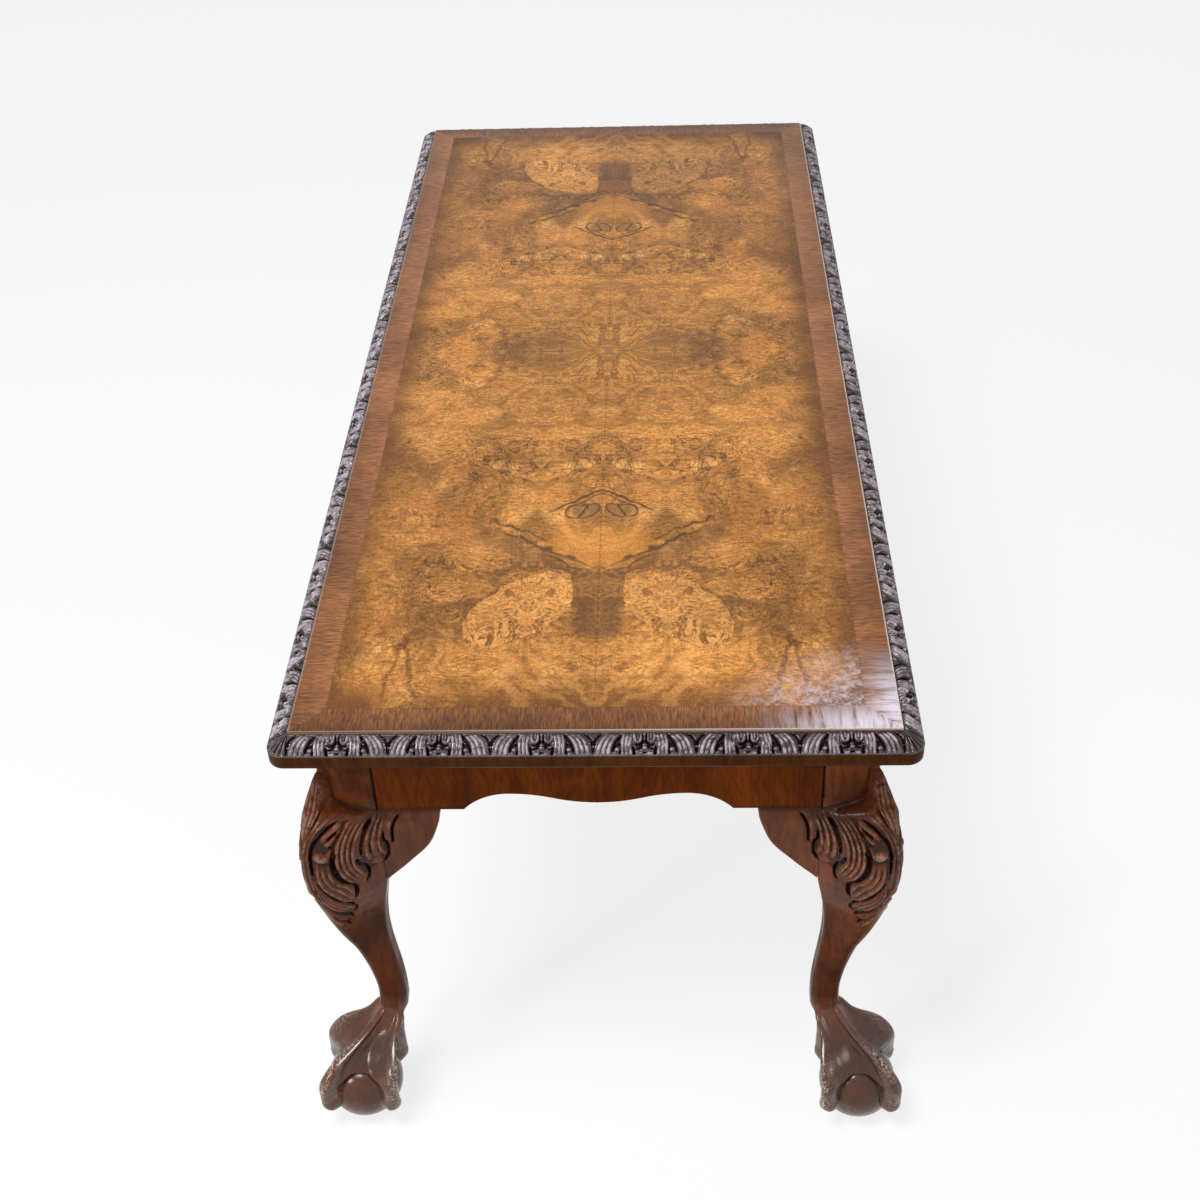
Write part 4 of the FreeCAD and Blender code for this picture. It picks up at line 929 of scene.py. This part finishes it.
def foot_ring(height, angles, ankle):
    """Web, talons and ball at one height: the outline's distance at each angle, how deep it
    lies, with painted shade in its grooves and beside the talons, its middle and where it is rubbed."""
    middle_at, face, corner = web_row(height)
    middle = (middle_at, middle_at)
    from_ridge = np.abs(np.mod(angles, math.pi / 2) - math.pi / 4) / (math.pi / 4)
    web = face + (corner - face) * (1 - from_ridge) ** (1.8 + 1.6 * unit((76.0 - height) / 14.0))
    share = unit((height - 86.0) / 20.0)
    if ankle is not None:
        web = web + (ankle - web) * share * share * (3 - 2 * share)
        below = max(ANKLE - height, 0.0)
        web = soft_max(web, ankle - 0.30 * below - 0.02 * below * below, 0.05 + min(0.15 * below, 2.0))
    ball = np.zeros(angles.shape)
    if height < BALL_COVERED:
        slice_square = max(BALL_RADIUS ** 2 - (height - BALL_MIDDLE[2]) ** 2, 1.0)
        ball = circle_reach((*BALL_MIDDLE[:2], math.sqrt(slice_square)), middle, angles)
    edge = 20.0 + 38.0 * np.sqrt(np.clip(1 - ((1 - from_ridge) / 0.93) ** 5, 0, 1))
    cover = np.clip((height - edge) / 1.4, 0, 1)
    skin = ball + (np.maximum(web, ball + 2.0) - ball) * cover
    groove = np.exp(-((height - edge + 1.4) / 1.3) ** 2) * (height < 62)
    skin = skin - 0.7 * groove
    # Painted shade: the groove where the web meets the ball goes darker; below 10 mm the value is a little
    # lower too, so darker.
    value = 0.5 - 0.46 * groove
    if height < TALON_FOOT or height > TALON_TOP:
        return skin, value - 0.12 * (height < 10), middle, np.zeros(angles.shape)
    standing, thick, wide = table_rows(TALON_PATH, np.array([height]))[0]
    standing -= 0.5 * max(height - 92.0, 0.0)
    thick, wide = max(thick, 0.4), max(wide, 1.0)
    talon = np.max([talon_reach(standing, thick, wide, math.radians(azimuth), angles)
                    for azimuth in (45, 135, 225, 315)], axis=0)
    blend = 0.5 + 2.4 * unit((height - 50.0) / 16.0)
    both = soft_max(talon, skin, blend)
    step = talon - skin
    # Painted shade: darker beside the talons, strongest low on the foot.
    crevice_shade = max(unit((60.0 - height) / 8.0), 0.6 * unit((98.0 - height) / 12.0))
    value = value - 0.44 * crevice_shade * np.exp(-((step + 1.6) / 2.4) ** 2)
    value = np.maximum(value, 0.5 + 0.17 * np.clip(step / 4.0, 0, 1))
    rubbed = np.exp(-(from_ridge / 0.13) ** 2) * unit((84.0 - height) / 10.0)
    rubbed = rubbed + 0.12 * (height < 34) * (step < -3)
    return both, value, middle, rubbed


def leg_turns(segments):
    """Angles round a leg, closest together over its two carved faces."""
    even = np.linspace(0, 2 * math.pi, segments, endpoint=False)
    return even - 0.62 * np.sin(even) + math.pi / 4


def leg_form(segments, relief, depth):
    """Points of a leg at the origin, ring by ring from the floor up, in millimetres."""
    heights = np.concatenate([
        np.linspace(0.0, 16.0, 15), np.linspace(16.6, FOOT_TOP, 160), np.linspace(115.0, 226.0, 34),
        np.linspace(CARVED_LOW, 352.0, 152), np.linspace(352.8, CARVED_HIGH, 44),
        [410.0, 420.0, 427.4, 428.0]])
    turns = leg_turns(segments)
    rows = table_rows(LEG_SECTIONS, heights)
    rows[heights > 400.0] = np.array(LEG_SECTIONS[0][1:])
    points = np.zeros((len(heights), segments, 3))
    carving = np.full((len(heights), segments), 0.5)
    wear = np.zeros((len(heights), segments))
    for ring, (height, row) in enumerate(zip(heights, rows)):
        heel, ridge, shoulder, ridge_round, shoulder_round, heel_round = row
        heel = max(heel, -POST)
        centre = (heel + max(shoulder, -12.0)) / 2
        middle = (centre, centre)
        near, far = heel + shoulder_round, shoulder - shoulder_round
        circles = [(heel + heel_round, heel + heel_round, heel_round), (far, near, shoulder_round),
                   (ridge - ridge_round, ridge - ridge_round, ridge_round), (near, far, shoulder_round)]
        reach = hull_reach(circles, middle, turns)
        if height > POST_FOOT:
            inner = heel + 0.6
            post = [(inner, inner, 0.6), (-0.6, inner, 0.6), (-11.0, -11.0, 11.0), (inner, -0.6, 0.6)]
            post = hull_reach(post, middle, turns)
            nose = 0.34 * (ridge + 6.0)
            tight = np.maximum(post, circle_reach((ridge - nose, ridge - nose, nose), middle, turns))
            x, y = middle[0] + tight * np.cos(turns), middle[1] + tight * np.sin(turns)
            into = np.clip((block_line(-np.minimum(x, y)) - height + 0.5) / 8.0, 0, 1)
            into = into * into * (3 - 2 * into)
            outer = np.maximum(x, y) > heel + 4.0
            reach = np.where(outer, tight + (np.maximum(reach, tight) - tight) * into, reach)
        if height < FOOT_TOP:
            web_middle = web_row(height)[0]
            ankle = hull_reach(circles, (web_middle, web_middle), turns) if height > 70.0 else None
            reach, carving[ring], middle, wear[ring] = foot_ring(height, turns, ankle)
        x, y = middle[0] + reach * np.cos(turns), middle[1] + reach * np.sin(turns)
        if CARVED_LOW < height < CARVED_HIGH:
            u = -np.minimum(x, y)
            face = np.clip((np.maximum(x, y) - (heel + 9.0)) / 6.0, 0, 1) * (u < POST + 0.1)
            carved = knee_carving(u, np.full(u.shape, height), relief, depth) * face
            outward = np.where(np.abs(x - y) < 8, 0.5 + (y - x) / 16.0, (y > x).astype(float))
            y = y + carved * np.sqrt(outward)
            x = x + carved * np.sqrt(1 - outward)
            carving[ring] = carving_value(carved)
        if height > 350.0:
            carving[ring] = np.where(np.minimum(x, y) < 0.6 - POST, 0.10, carving[ring])
        points[ring, :, 0], points[ring, :, 1], points[ring, :, 2] = x, y, height
    points[:, :, :2] = np.maximum(points[:, :, :2], -POST)
    return points, carving, wear


def lone_object(name):
    """The object that an operator has just made, under its own name."""
    piece = bpy.context.object
    piece.name = name
    piece.data.name = name
    return piece


def move_points(piece, points):
    piece.data.vertices.foreach_set("co", np.ascontiguousarray(points, dtype=np.float32).ravel())
    piece.data.update()


def vertex_places(piece):
    places = np.zeros(len(piece.data.vertices) * 3, np.float32)
    piece.data.vertices.foreach_get("co", places)
    return places.reshape(-1, 3)


def store(piece, name, values):
    layer = piece.data.attributes.new(name, "FLOAT", "POINT")
    layer.data.foreach_set("value", np.ascontiguousarray(values, dtype=np.float32).ravel())


def place_piece(piece, turn, spot, material):
    """Puts a local form at its corner of the table and gives it its finish."""
    shift = Matrix.Translation(Vector((spot[0], spot[1], 0.0)))
    piece.data.transform(shift @ Matrix.Rotation(turn, 4, "Z"))
    piece.data.update()
    piece.data.materials.clear()
    piece.data.materials.append(material)
    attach(piece, "root")


def pick(piece):
    """Makes a piece the only one that is selected, and the active one."""
    bpy.ops.object.select_all(action="DESELECT")
    piece.select_set(True)
    bpy.context.view_layer.objects.active = piece


def shade_smooth(piece, angle):
    pick(piece)
    bpy.ops.object.shade_smooth_by_angle(angle=math.radians(angle))


def copy_piece(source, name):
    """A copy of a piece with a mesh of its own."""
    pick(source)
    bpy.ops.object.duplicate(linked=False)
    return lone_object(name)


# How far each leg is turned from the back right one, and its place.
CORNERS = {
    "back_right": (0.0, (POST_FACE[0], POST_FACE[1])),
    "back_left": (math.pi / 2, (-POST_FACE[0], POST_FACE[1])),
    "front_left": (math.pi, (-POST_FACE[0], -POST_FACE[1])),
    "front_right": (1.5 * math.pi, (POST_FACE[0], -POST_FACE[1])),
}

# How far each length of the moulding is turned from the front one, and if it is on an end.
SIDES = {
    "front": (0.0, True), "right": (math.pi / 2, False),
    "back": (math.pi, True), "left": (1.5 * math.pi, False),
}


class FinishTop(bpy.types.Operator):
    """Veneer the top: quartered burr leaves inside crossbanding"""
    bl_idname = "coffee_table.finish_top"
    bl_label = "Veneer the top"

    def execute(self, context):
        coat([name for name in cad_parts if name.startswith("burr_leaf")], burr_finish())
        coat(["crossband_front", "crossband_back"], band_finish("crossband of the ends", False))
        coat(["crossband_left", "crossband_right"], band_finish("crossband of the sides", True))
        return {"FINISHED"}


class FinishRails(bpy.types.Operator):
    """Polish the rail veneers and finish the plain woods and screws inside"""
    bl_idname = "coffee_table.finish_rails"
    bl_label = "Finish the rails and inner woods"

    def execute(self, context):
        ground = settings("polish").ground
        names = list(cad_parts)
        coat([name for name in names if name.endswith("rail_veneer")], rail_finish())
        along_y = plain_finish("plain wood along the table", ground, (1.0, 0.08, 1.0))
        along_x = plain_finish("plain wood across the table", ground, (0.08, 1.0, 1.0))
        coat(["top_core", "backing_veneer", "left_rail", "right_rail"], along_y)
        blocks = [name for name in names
                  if name.startswith("corner_block_") and not name.endswith("screws")]
        coat(["front_rail", "back_rail", *blocks], along_x)
        beech = plain_finish("beech", (0.42, 0.26, 0.13), (1.0, 0.3, 1.0))
        coat([name for name in names if name.startswith("top_button")], beech)
        coat(["corner_block_screws", "button_screws"], screw_finish())
        return {"FINISHED"}


class CarveMouldings(bpy.types.Operator):
    """Carve the four lengths of the edge moulding, with flowers and leaves along them"""
    bl_idname = "coffee_table.carve_mouldings"
    bl_label = "Carve the mouldings"

    def section(self, sizes):
        """Distance out from the inner edge and height of each line along the moulding."""
        wide = TABLE_HALF[0] - FIELD_HALF[0]
        top, lip = TOP_LEVEL, TOP_UNDER + LIP_HIGH
        part = np.linspace(0, 1, SLOPE_LINES)
        level = top + (lip - top) * part + 4 * sizes.crown * part * (1 - part)
        edge = [(wide, lip - 0.0006), (wide, lip - 0.003), (wide, lip - 0.006), (wide, TOP_UNDER + 0.0015),
                (wide - 0.0006, TOP_UNDER + 0.0004), (wide - 0.0016, TOP_UNDER), (wide / 2, TOP_UNDER),
                (0.0, TOP_UNDER), (0.0, (top + TOP_UNDER) / 2), (0.0, top)]
        out = np.concatenate([wide * part, [spot[0] for spot in edge]])
        level = np.concatenate([level, [spot[1] for spot in edge]])
        return wide, out, level

    def strip(self, name, half_run, half_reach, repeats, sizes, relief):
        """A length along X with its section at each column, fanned round its two mitres."""
        wide, out, level = self.section(sizes)
        inner_run = half_run - wide
        columns = repeats * REPEAT_COLUMNS
        along = np.linspace(-inner_run, inner_run, columns + 1)
        radius = MOULD_CORNER
        corner_fan = np.linspace(0, 1, CORNER_COLUMNS + 1)[1:]
        outer_straight = half_run - radius
        fan_out, fan_in = [], []
        for share in corner_fan:
            reach = wide * share
            if inner_run + reach <= outer_straight:
                fan_out.append((inner_run + reach, wide))
            else:
                turn = (inner_run + reach - outer_straight) / (half_run - outer_straight) * math.pi / 4
                fan_out.append((outer_straight + radius * math.sin(turn),
                                wide - radius + radius * math.cos(turn)))
            fan_in.append(inner_run + 0.0004 * share)
        fan_out, fan_in = np.array(fan_out), np.array(fan_in)
        start_x = np.concatenate([-fan_in[::-1], along, fan_in])
        end_x = np.concatenate([-fan_out[::-1, 0], along, fan_out[:, 0]])
        end_out = np.concatenate([fan_out[::-1, 1], np.full(columns + 1, wide), fan_out[:, 1]])
        count_x, count_y = len(start_x), len(out)
        bpy.ops.mesh.primitive_grid_add(x_subdivisions=count_x - 1, y_subdivisions=count_y - 1, size=1.0)
        piece = lone_object(name)
        share = np.repeat((out / wide)[None, :], count_x, 0)
        height = np.repeat(level[None, :], count_x, 0)
        phase = np.arange(columns + 1) / REPEAT_COLUMNS
        phase = np.concatenate([np.zeros(CORNER_COLUMNS), phase, np.full(CORNER_COLUMNS, float(repeats))])
        motif = 100.0 - np.abs(np.mod(phase, 1.0) - 0.5) * 200.0
        across = share[:, :SLOPE_LINES] * 100.0
        slope = relief.at(np.repeat(motif[:, None], SLOPE_LINES, 1), across)
        fan = np.concatenate([corner_fan[::-1], np.zeros(columns + 1), corner_fan])
        lobes = 1.6 * np.abs(np.sin(fan * math.pi * 2.5)) - 1.0
        from_rim = np.minimum(across, 100 - across)
        slope = np.where(fan[:, None] > 0, lobes[:, None] * np.clip(from_rim / 12.0, 0, 1), slope)
        slope = (slope - 0.75) * np.clip(from_rim / 5.0, 0, 1) * sizes.moulding_depth
        carved = np.zeros((count_x, count_y))
        carved[:, :SLOPE_LINES] = slope
        height = height + carved * MM * CARVED_UP
        share = share + carved * MM * CARVED_OUT / wide
        x = start_x[:, None] + (end_x - start_x)[:, None] * share
        away = end_out[:, None] * share
        shape = np.stack([x, -(half_reach - wide) - away, height], 2).transpose(1, 0, 2)
        move_points(piece, shape.reshape(-1, 3))
        value = np.full((count_x, count_y), 0.56)
        value[:, :SLOPE_LINES] = 0.5 + (slope + 0.30) / 2.8
        # Painted shadow: the inner edge of the slope and the inner face go dark, as the shadow line under the
        # raised panel's edge.
        value[:, :2] = 0.05
        value[:, -2:] = 0.05
        store(piece, "carving", value.T)
        store(piece, "wear", np.zeros(count_x * count_y))
        self.close(piece)
        return piece

    def close(self, piece):
        """Joins the section's last line to its first and closes the two mitred ends."""
        bpy.ops.object.mode_set(mode="EDIT")
        bpy.ops.mesh.select_mode(type="VERT")
        bpy.ops.mesh.select_all(action="SELECT")
        bpy.ops.mesh.remove_doubles(threshold=0.000002)
        for hand in (-1, 1):
            bpy.ops.mesh.select_all(action="DESELECT")
            bpy.ops.mesh.select_non_manifold(
                extend=False, use_wire=False, use_multi_face=False, use_non_contiguous=False, use_verts=False)
            bpy.ops.object.mode_set(mode="OBJECT")
            for vertex in piece.data.vertices:
                vertex.select = vertex.select and vertex.co.x * hand > 0
            bpy.ops.object.mode_set(mode="EDIT")
            bpy.ops.mesh.edge_face_add()
        bpy.ops.mesh.select_all(action="SELECT")
        bpy.ops.mesh.normals_make_consistent(inside=False)
        bpy.ops.object.mode_set(mode="OBJECT")

    def execute(self, context):
        sizes = settings("carving")
        relief = Relief((-1.0, 0.0), (101.5, 100.5), 0.7, MOULD_FANS, MOULD_RIBS, MOULD_CUTS)
        # The moulding's greyish lavender is partly a painted reflection of the sky; its pale lavender on the
        # high places is a painted highlight over rubbed polish.
        polish = carved_finish("carved edge", settings("polish").moulding, (0.120, 0.092, 0.098),
                               (0.66, 0.58, 0.65), (0.066, 0.019, 0.002))
        for side, (turn, on_end) in SIDES.items():
            half_run, half_reach = TABLE_HALF if on_end else TABLE_HALF[::-1]
            repeats = sizes.end_repeats if on_end else sizes.side_repeats
            bpy.ops.object.select_all(action="DESELECT")
            piece = self.strip("carved_edge_" + side, half_run, half_reach, repeats, sizes, relief)
            place_piece(piece, turn, (0.0, 0.0), polish)
            shade_smooth(piece, 50.0)
            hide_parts("edge_moulding_" + side)
        return {"FINISHED"}


class CarveLegs(bpy.types.Operator):
    """Carve the four cabriole legs, each with its post, knee, shaft, ball and claws"""
    bl_idname = "coffee_table.carve_legs"
    bl_label = "Carve the legs"

    def execute(self, context):
        sizes = settings("carving")
        points, carving, wear = leg_form(sizes.leg_segments, knee_relief(), sizes.knee_depth)
        rings = points.shape[0]
        bpy.ops.object.select_all(action="DESELECT")
        bpy.ops.mesh.primitive_uv_sphere_add(segments=sizes.leg_segments, ring_count=rings + 1, radius=1.0)
        first = lone_object("carved_leg_back_right")
        x, y, z = vertex_places(first).T
        level = np.rint((np.arcsin(np.clip(z, -1, 1)) / math.pi + 0.5) * (rings + 1)).astype(int) - 1
        turn = np.mod(np.arctan2(y, x), 2 * math.pi) / (2 * math.pi) * sizes.leg_segments
        turn = np.rint(turn).astype(int) % sizes.leg_segments
        pole = (level < 0) | (level >= rings)
        ring = np.clip(level, 0, rings - 1)
        shape = points[ring, turn]
        shape[pole, :2] = points[ring[pole]].mean(1)[:, :2]
        move_points(first, shape * MM)
        store(first, "carving", carving[ring, turn])
        store(first, "wear", wear[ring, turn])
        # The last colour is rubbed polish on the high places, with a painted highlight.
        polish = carved_finish("carved walnut", settings("polish").carved, (0.150, 0.038, 0.008),
                               (0.44, 0.27, 0.20))
        shade_smooth(first, 60.0)
        for corner in CORNERS:
            if corner != "back_right":
                copy_piece(first, "carved_leg_" + corner)
        for corner, (quarter, spot) in CORNERS.items():
            piece = bpy.data.objects["carved_leg_" + corner]
            place_piece(piece, quarter, spot, polish)
            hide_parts("leg_" + corner)
        return {"FINISHED"}


class CarveEars(bpy.types.Operator):
    """Carve the eight ears that carry the knees' leaves on to the rails"""
    bl_idname = "coffee_table.carve_ears"
    bl_label = "Carve the ears"

    def ear(self, relief, depth):
        """An ear beside a knee: the leg's face looks along +Y and the ear lies towards -X."""
        edge = smooth_line(EAR_EDGE[::-1], 1.0)
        rows, columns = 96, 60
        heights = np.linspace(EAR_EDGE[-1][1] + 0.3, EAR_EDGE[0][1], rows)
        far = np.interp(heights, edge[:, 1], edge[:, 0])
        part = np.linspace(0, 1, columns)
        u = POST + (far - POST)[:, None] * part[None, :]
        height = np.repeat(heights[:, None], columns, 1)
        section = table_rows(LEG_SECTIONS, heights)
        proud = section[:, 2][:, None]
        slope = ((section[:, 1] - section[:, 2]) / 64.0)[:, None]
        top_flare = np.clip((352.0 - height) / 7.0, 0, 1)
        front = proud * top_flare - slope * 9.0 * (1 - np.exp(-(u - POST) / 9.0)) * top_flare
        swell = 1.5 * np.sin(np.clip((u - 40.0) / 40.0, 0, 1) * math.pi)
        swell = swell * np.clip((351.5 - height) / 12.0, 0, 1)
        carved = knee_carving(u, height, relief, depth)
        front = front + swell + carved
        to_edge = np.minimum(far[:, None] - u, ((heights - heights[0]) * 0.7 + 0.4)[:, None])
        front = front - 2.0 * np.clip(1 - to_edge / 2.2, 0, 1) ** 2
        bpy.ops.object.select_all(action="DESELECT")
        bpy.ops.mesh.primitive_grid_add(x_subdivisions=columns - 1, y_subdivisions=rows - 1, size=1.0)
        piece = lone_object("carved_ear_pattern")
        shape = np.stack([-u, front, height], 2) * MM
        move_points(piece, shape.reshape(-1, 3))
        store(piece, "carving", carving_value(carved))
        bpy.ops.object.mode_set(mode="EDIT")
        bpy.ops.mesh.select_all(action="SELECT")
        back = -EAR_DEEP * MM
        bpy.ops.mesh.extrude_region_move(TRANSFORM_OT_translate={"value": (0.0, back, 0.0)})
        bpy.ops.object.mode_set(mode="OBJECT")
        mesh = piece.data
        for vertex in mesh.vertices:
            if vertex.select:
                vertex.co.y = back
        bpy.ops.object.mode_set(mode="EDIT")
        bpy.ops.mesh.select_all(action="SELECT")
        bpy.ops.mesh.normals_make_consistent(inside=False)
        bpy.ops.object.mode_set(mode="OBJECT")
        values = np.zeros(len(mesh.vertices), np.float32)
        mesh.attributes["carving"].data.foreach_get("value", values)
        values[vertex_places(piece)[:, 1] < -0.015] = 0.5
        mesh.attributes["carving"].data.foreach_set("value", values)
        store(piece, "wear", np.zeros(len(mesh.vertices)))
        shade_smooth(piece, 50.0)
        return piece

    def execute(self, context):
        sizes = settings("carving")
        polish = bpy.data.materials["carved walnut"]
        right = self.ear(knee_relief(), sizes.knee_depth)
        left = copy_piece(right, "carved_ear_mirror")
        left.data.transform(Matrix(((0, 1, 0, 0), (1, 0, 0, 0), (0, 0, 1, 0), (0, 0, 0, 1))))
        left.data.flip_normals()
        for quarter, spot in CORNERS.values():
            for pattern in (right, left):
                piece = copy_piece(pattern, "ear_being_placed")
                place_piece(piece, quarter, spot, polish)
                places = vertex_places(piece)
                middle = (places.min(0) + places.max(0)) / 2
                ears = [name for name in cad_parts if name.startswith("ear_")]
                node = min(ears, key=lambda name: np.linalg.norm(np.mean(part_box(name), axis=0) - middle))
                piece.name = "carved_" + node
                piece.data.name = "carved_" + node
                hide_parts(node)
        for pattern in (right, left):
            bpy.data.objects.remove(pattern)
        return {"FINISHED"}


class SetStage(bpy.types.Operator):
    """Set the pale floor, the soft studio light and the camera"""
    bl_idname = "coffee_table.set_stage"
    bl_label = "Set the stage"

    def execute(self, context):
        sizes = settings("stage")
        scene = context.scene
        scene.view_settings.view_transform = "Standard"
        bpy.ops.object.select_all(action="DESELECT")
        bpy.ops.mesh.primitive_plane_add(size=24.0, location=(0.0, 0.0, 0.0))
        floor = lone_object("studio_floor")
        floor.data.transform(Matrix.Translation((0.0, 0.0, -0.0004)))
        paint = Finish("pale floor")
        paint.finish(sizes.floor_colour, 0.9)
        white = paint.add("ShaderNodeEmission", {"Color": (1.0, 1.0, 1.0), "Strength": 1.0})
        share = paint.times(paint.shown(), 0.80)
        show = paint.add("ShaderNodeMixShader", {0: share, 1: paint.shader.outputs[0], 2: white.outputs[0]})
        paint.feed(paint.tree.nodes["Material Output"].inputs["Surface"], show.outputs[0])
        floor.data.materials.append(paint.material)
        world = bpy.data.worlds.new("white studio")
        scene.world = world
        world.use_nodes = True
        studio = Nodes(world.node_tree)
        sky = studio.tree.nodes["Background"].inputs
        studio.feed(sky["Color"], (1.0, 1.0, 1.0))
        studio.feed(sky["Strength"], studio.span(studio.shown(), 0.0, 1.0, sizes.sky, 1.0, smooth=False))
        for name, spot, size, power, aim in (
                ("lamp over the table", (-0.8, -1.1, 2.8), (1.0, 0.9), sizes.lamp_power, (0.0, -0.1, 0.3)),
                ("lamp at the left", (-2.2, -2.3, 1.7), (0.5, 0.7), sizes.lamp_power * 0.36,
                 (0.0, -0.4, 0.25)),
                ("lamp at the right", (2.4, -1.6, 1.4), (0.5, 0.9), sizes.lamp_power * 0.10,
                 (0.0, -0.4, 0.25))):
            bpy.ops.object.light_add(type="AREA", location=spot)
            lamp = bpy.context.object
            lamp.name = name
            lamp.data.shape = "RECTANGLE"
            lamp.data.size, lamp.data.size_y = size
            lamp.data.energy = power
            lamp.rotation_euler = (Vector(aim) - Vector(spot)).to_track_quat("-Z", "Y").to_euler()
        self.camera(scene)
        return {"FINISHED"}

    def camera(self, scene):
        """A camera at the place and turn that fit the photo."""
        yaw, pitch, roll = -0.04931, 0.67630, -0.04000
        place = Vector((0.05033, -1.36635, 1.24789))
        right = Vector((math.cos(yaw), -math.sin(yaw), 0.0))
        level = Vector((math.sin(yaw), math.cos(yaw), 0.0))
        up = Vector((0.0, 0.0, 1.0))
        forward = level * math.cos(pitch) - up * math.sin(pitch)
        over = level * math.sin(pitch) + up * math.cos(pitch)
        across = right * math.cos(roll) + over * math.sin(roll)
        top = over * math.cos(roll) - right * math.sin(roll)
        data = bpy.data.cameras.new("photo view")
        data.sensor_width = 36.0
        data.lens = 50.087
        data.clip_end = 60.0
        view = bpy.data.objects.new("photo view", data)
        scene.collection.objects.link(view)
        view.matrix_world = Matrix((
            (across.x, top.x, -forward.x, place.x),
            (across.y, top.y, -forward.y, place.y),
            (across.z, top.z, -forward.z, place.z),
            (0.0, 0.0, 0.0, 1.0)))
        scene.camera = view


class TablePanel(bpy.types.Panel):
    """Lists the steps and their sizes in the sidebar"""
    bl_idname = "VIEW3D_PT_coffee_table"
    bl_label = "Coffee table"
    bl_space_type = "VIEW_3D"
    bl_region_type = "UI"
    bl_category = "Coffee table"

    def draw(self, context):
        layout = self.layout
        for kind, group in GROUPS.items():
            box = layout.box()
            for name in group.__annotations__:
                box.prop(settings(kind), name)
        for step in STEPS:
            layout.operator(step.bl_idname)


GROUPS = {"stage": StageSizes, "carving": CarvingSizes, "polish": PolishColours}
STEPS = (FinishTop, FinishRails, CarveMouldings, CarveLegs, CarveEars, SetStage)


def register():
    for kind in (*GROUPS.values(), *STEPS, TablePanel):
        bpy.utils.register_class(kind)
    for name, group in GROUPS.items():
        setattr(bpy.types.Scene, "coffee_table_" + name, PointerProperty(type=group))


def unregister():
    for name in GROUPS:
        delattr(bpy.types.Scene, "coffee_table_" + name)
    for kind in (TablePanel, *reversed(STEPS), *reversed(GROUPS.values())):
        bpy.utils.unregister_class(kind)


def main():
    register()
    bpy.ops.coffee_table.finish_top()
    bpy.ops.coffee_table.finish_rails()
    bpy.ops.coffee_table.carve_mouldings()
    bpy.ops.coffee_table.carve_legs()
    bpy.ops.coffee_table.carve_ears()
    bpy.ops.coffee_table.set_stage()


if __name__ == "__main__":
    main()
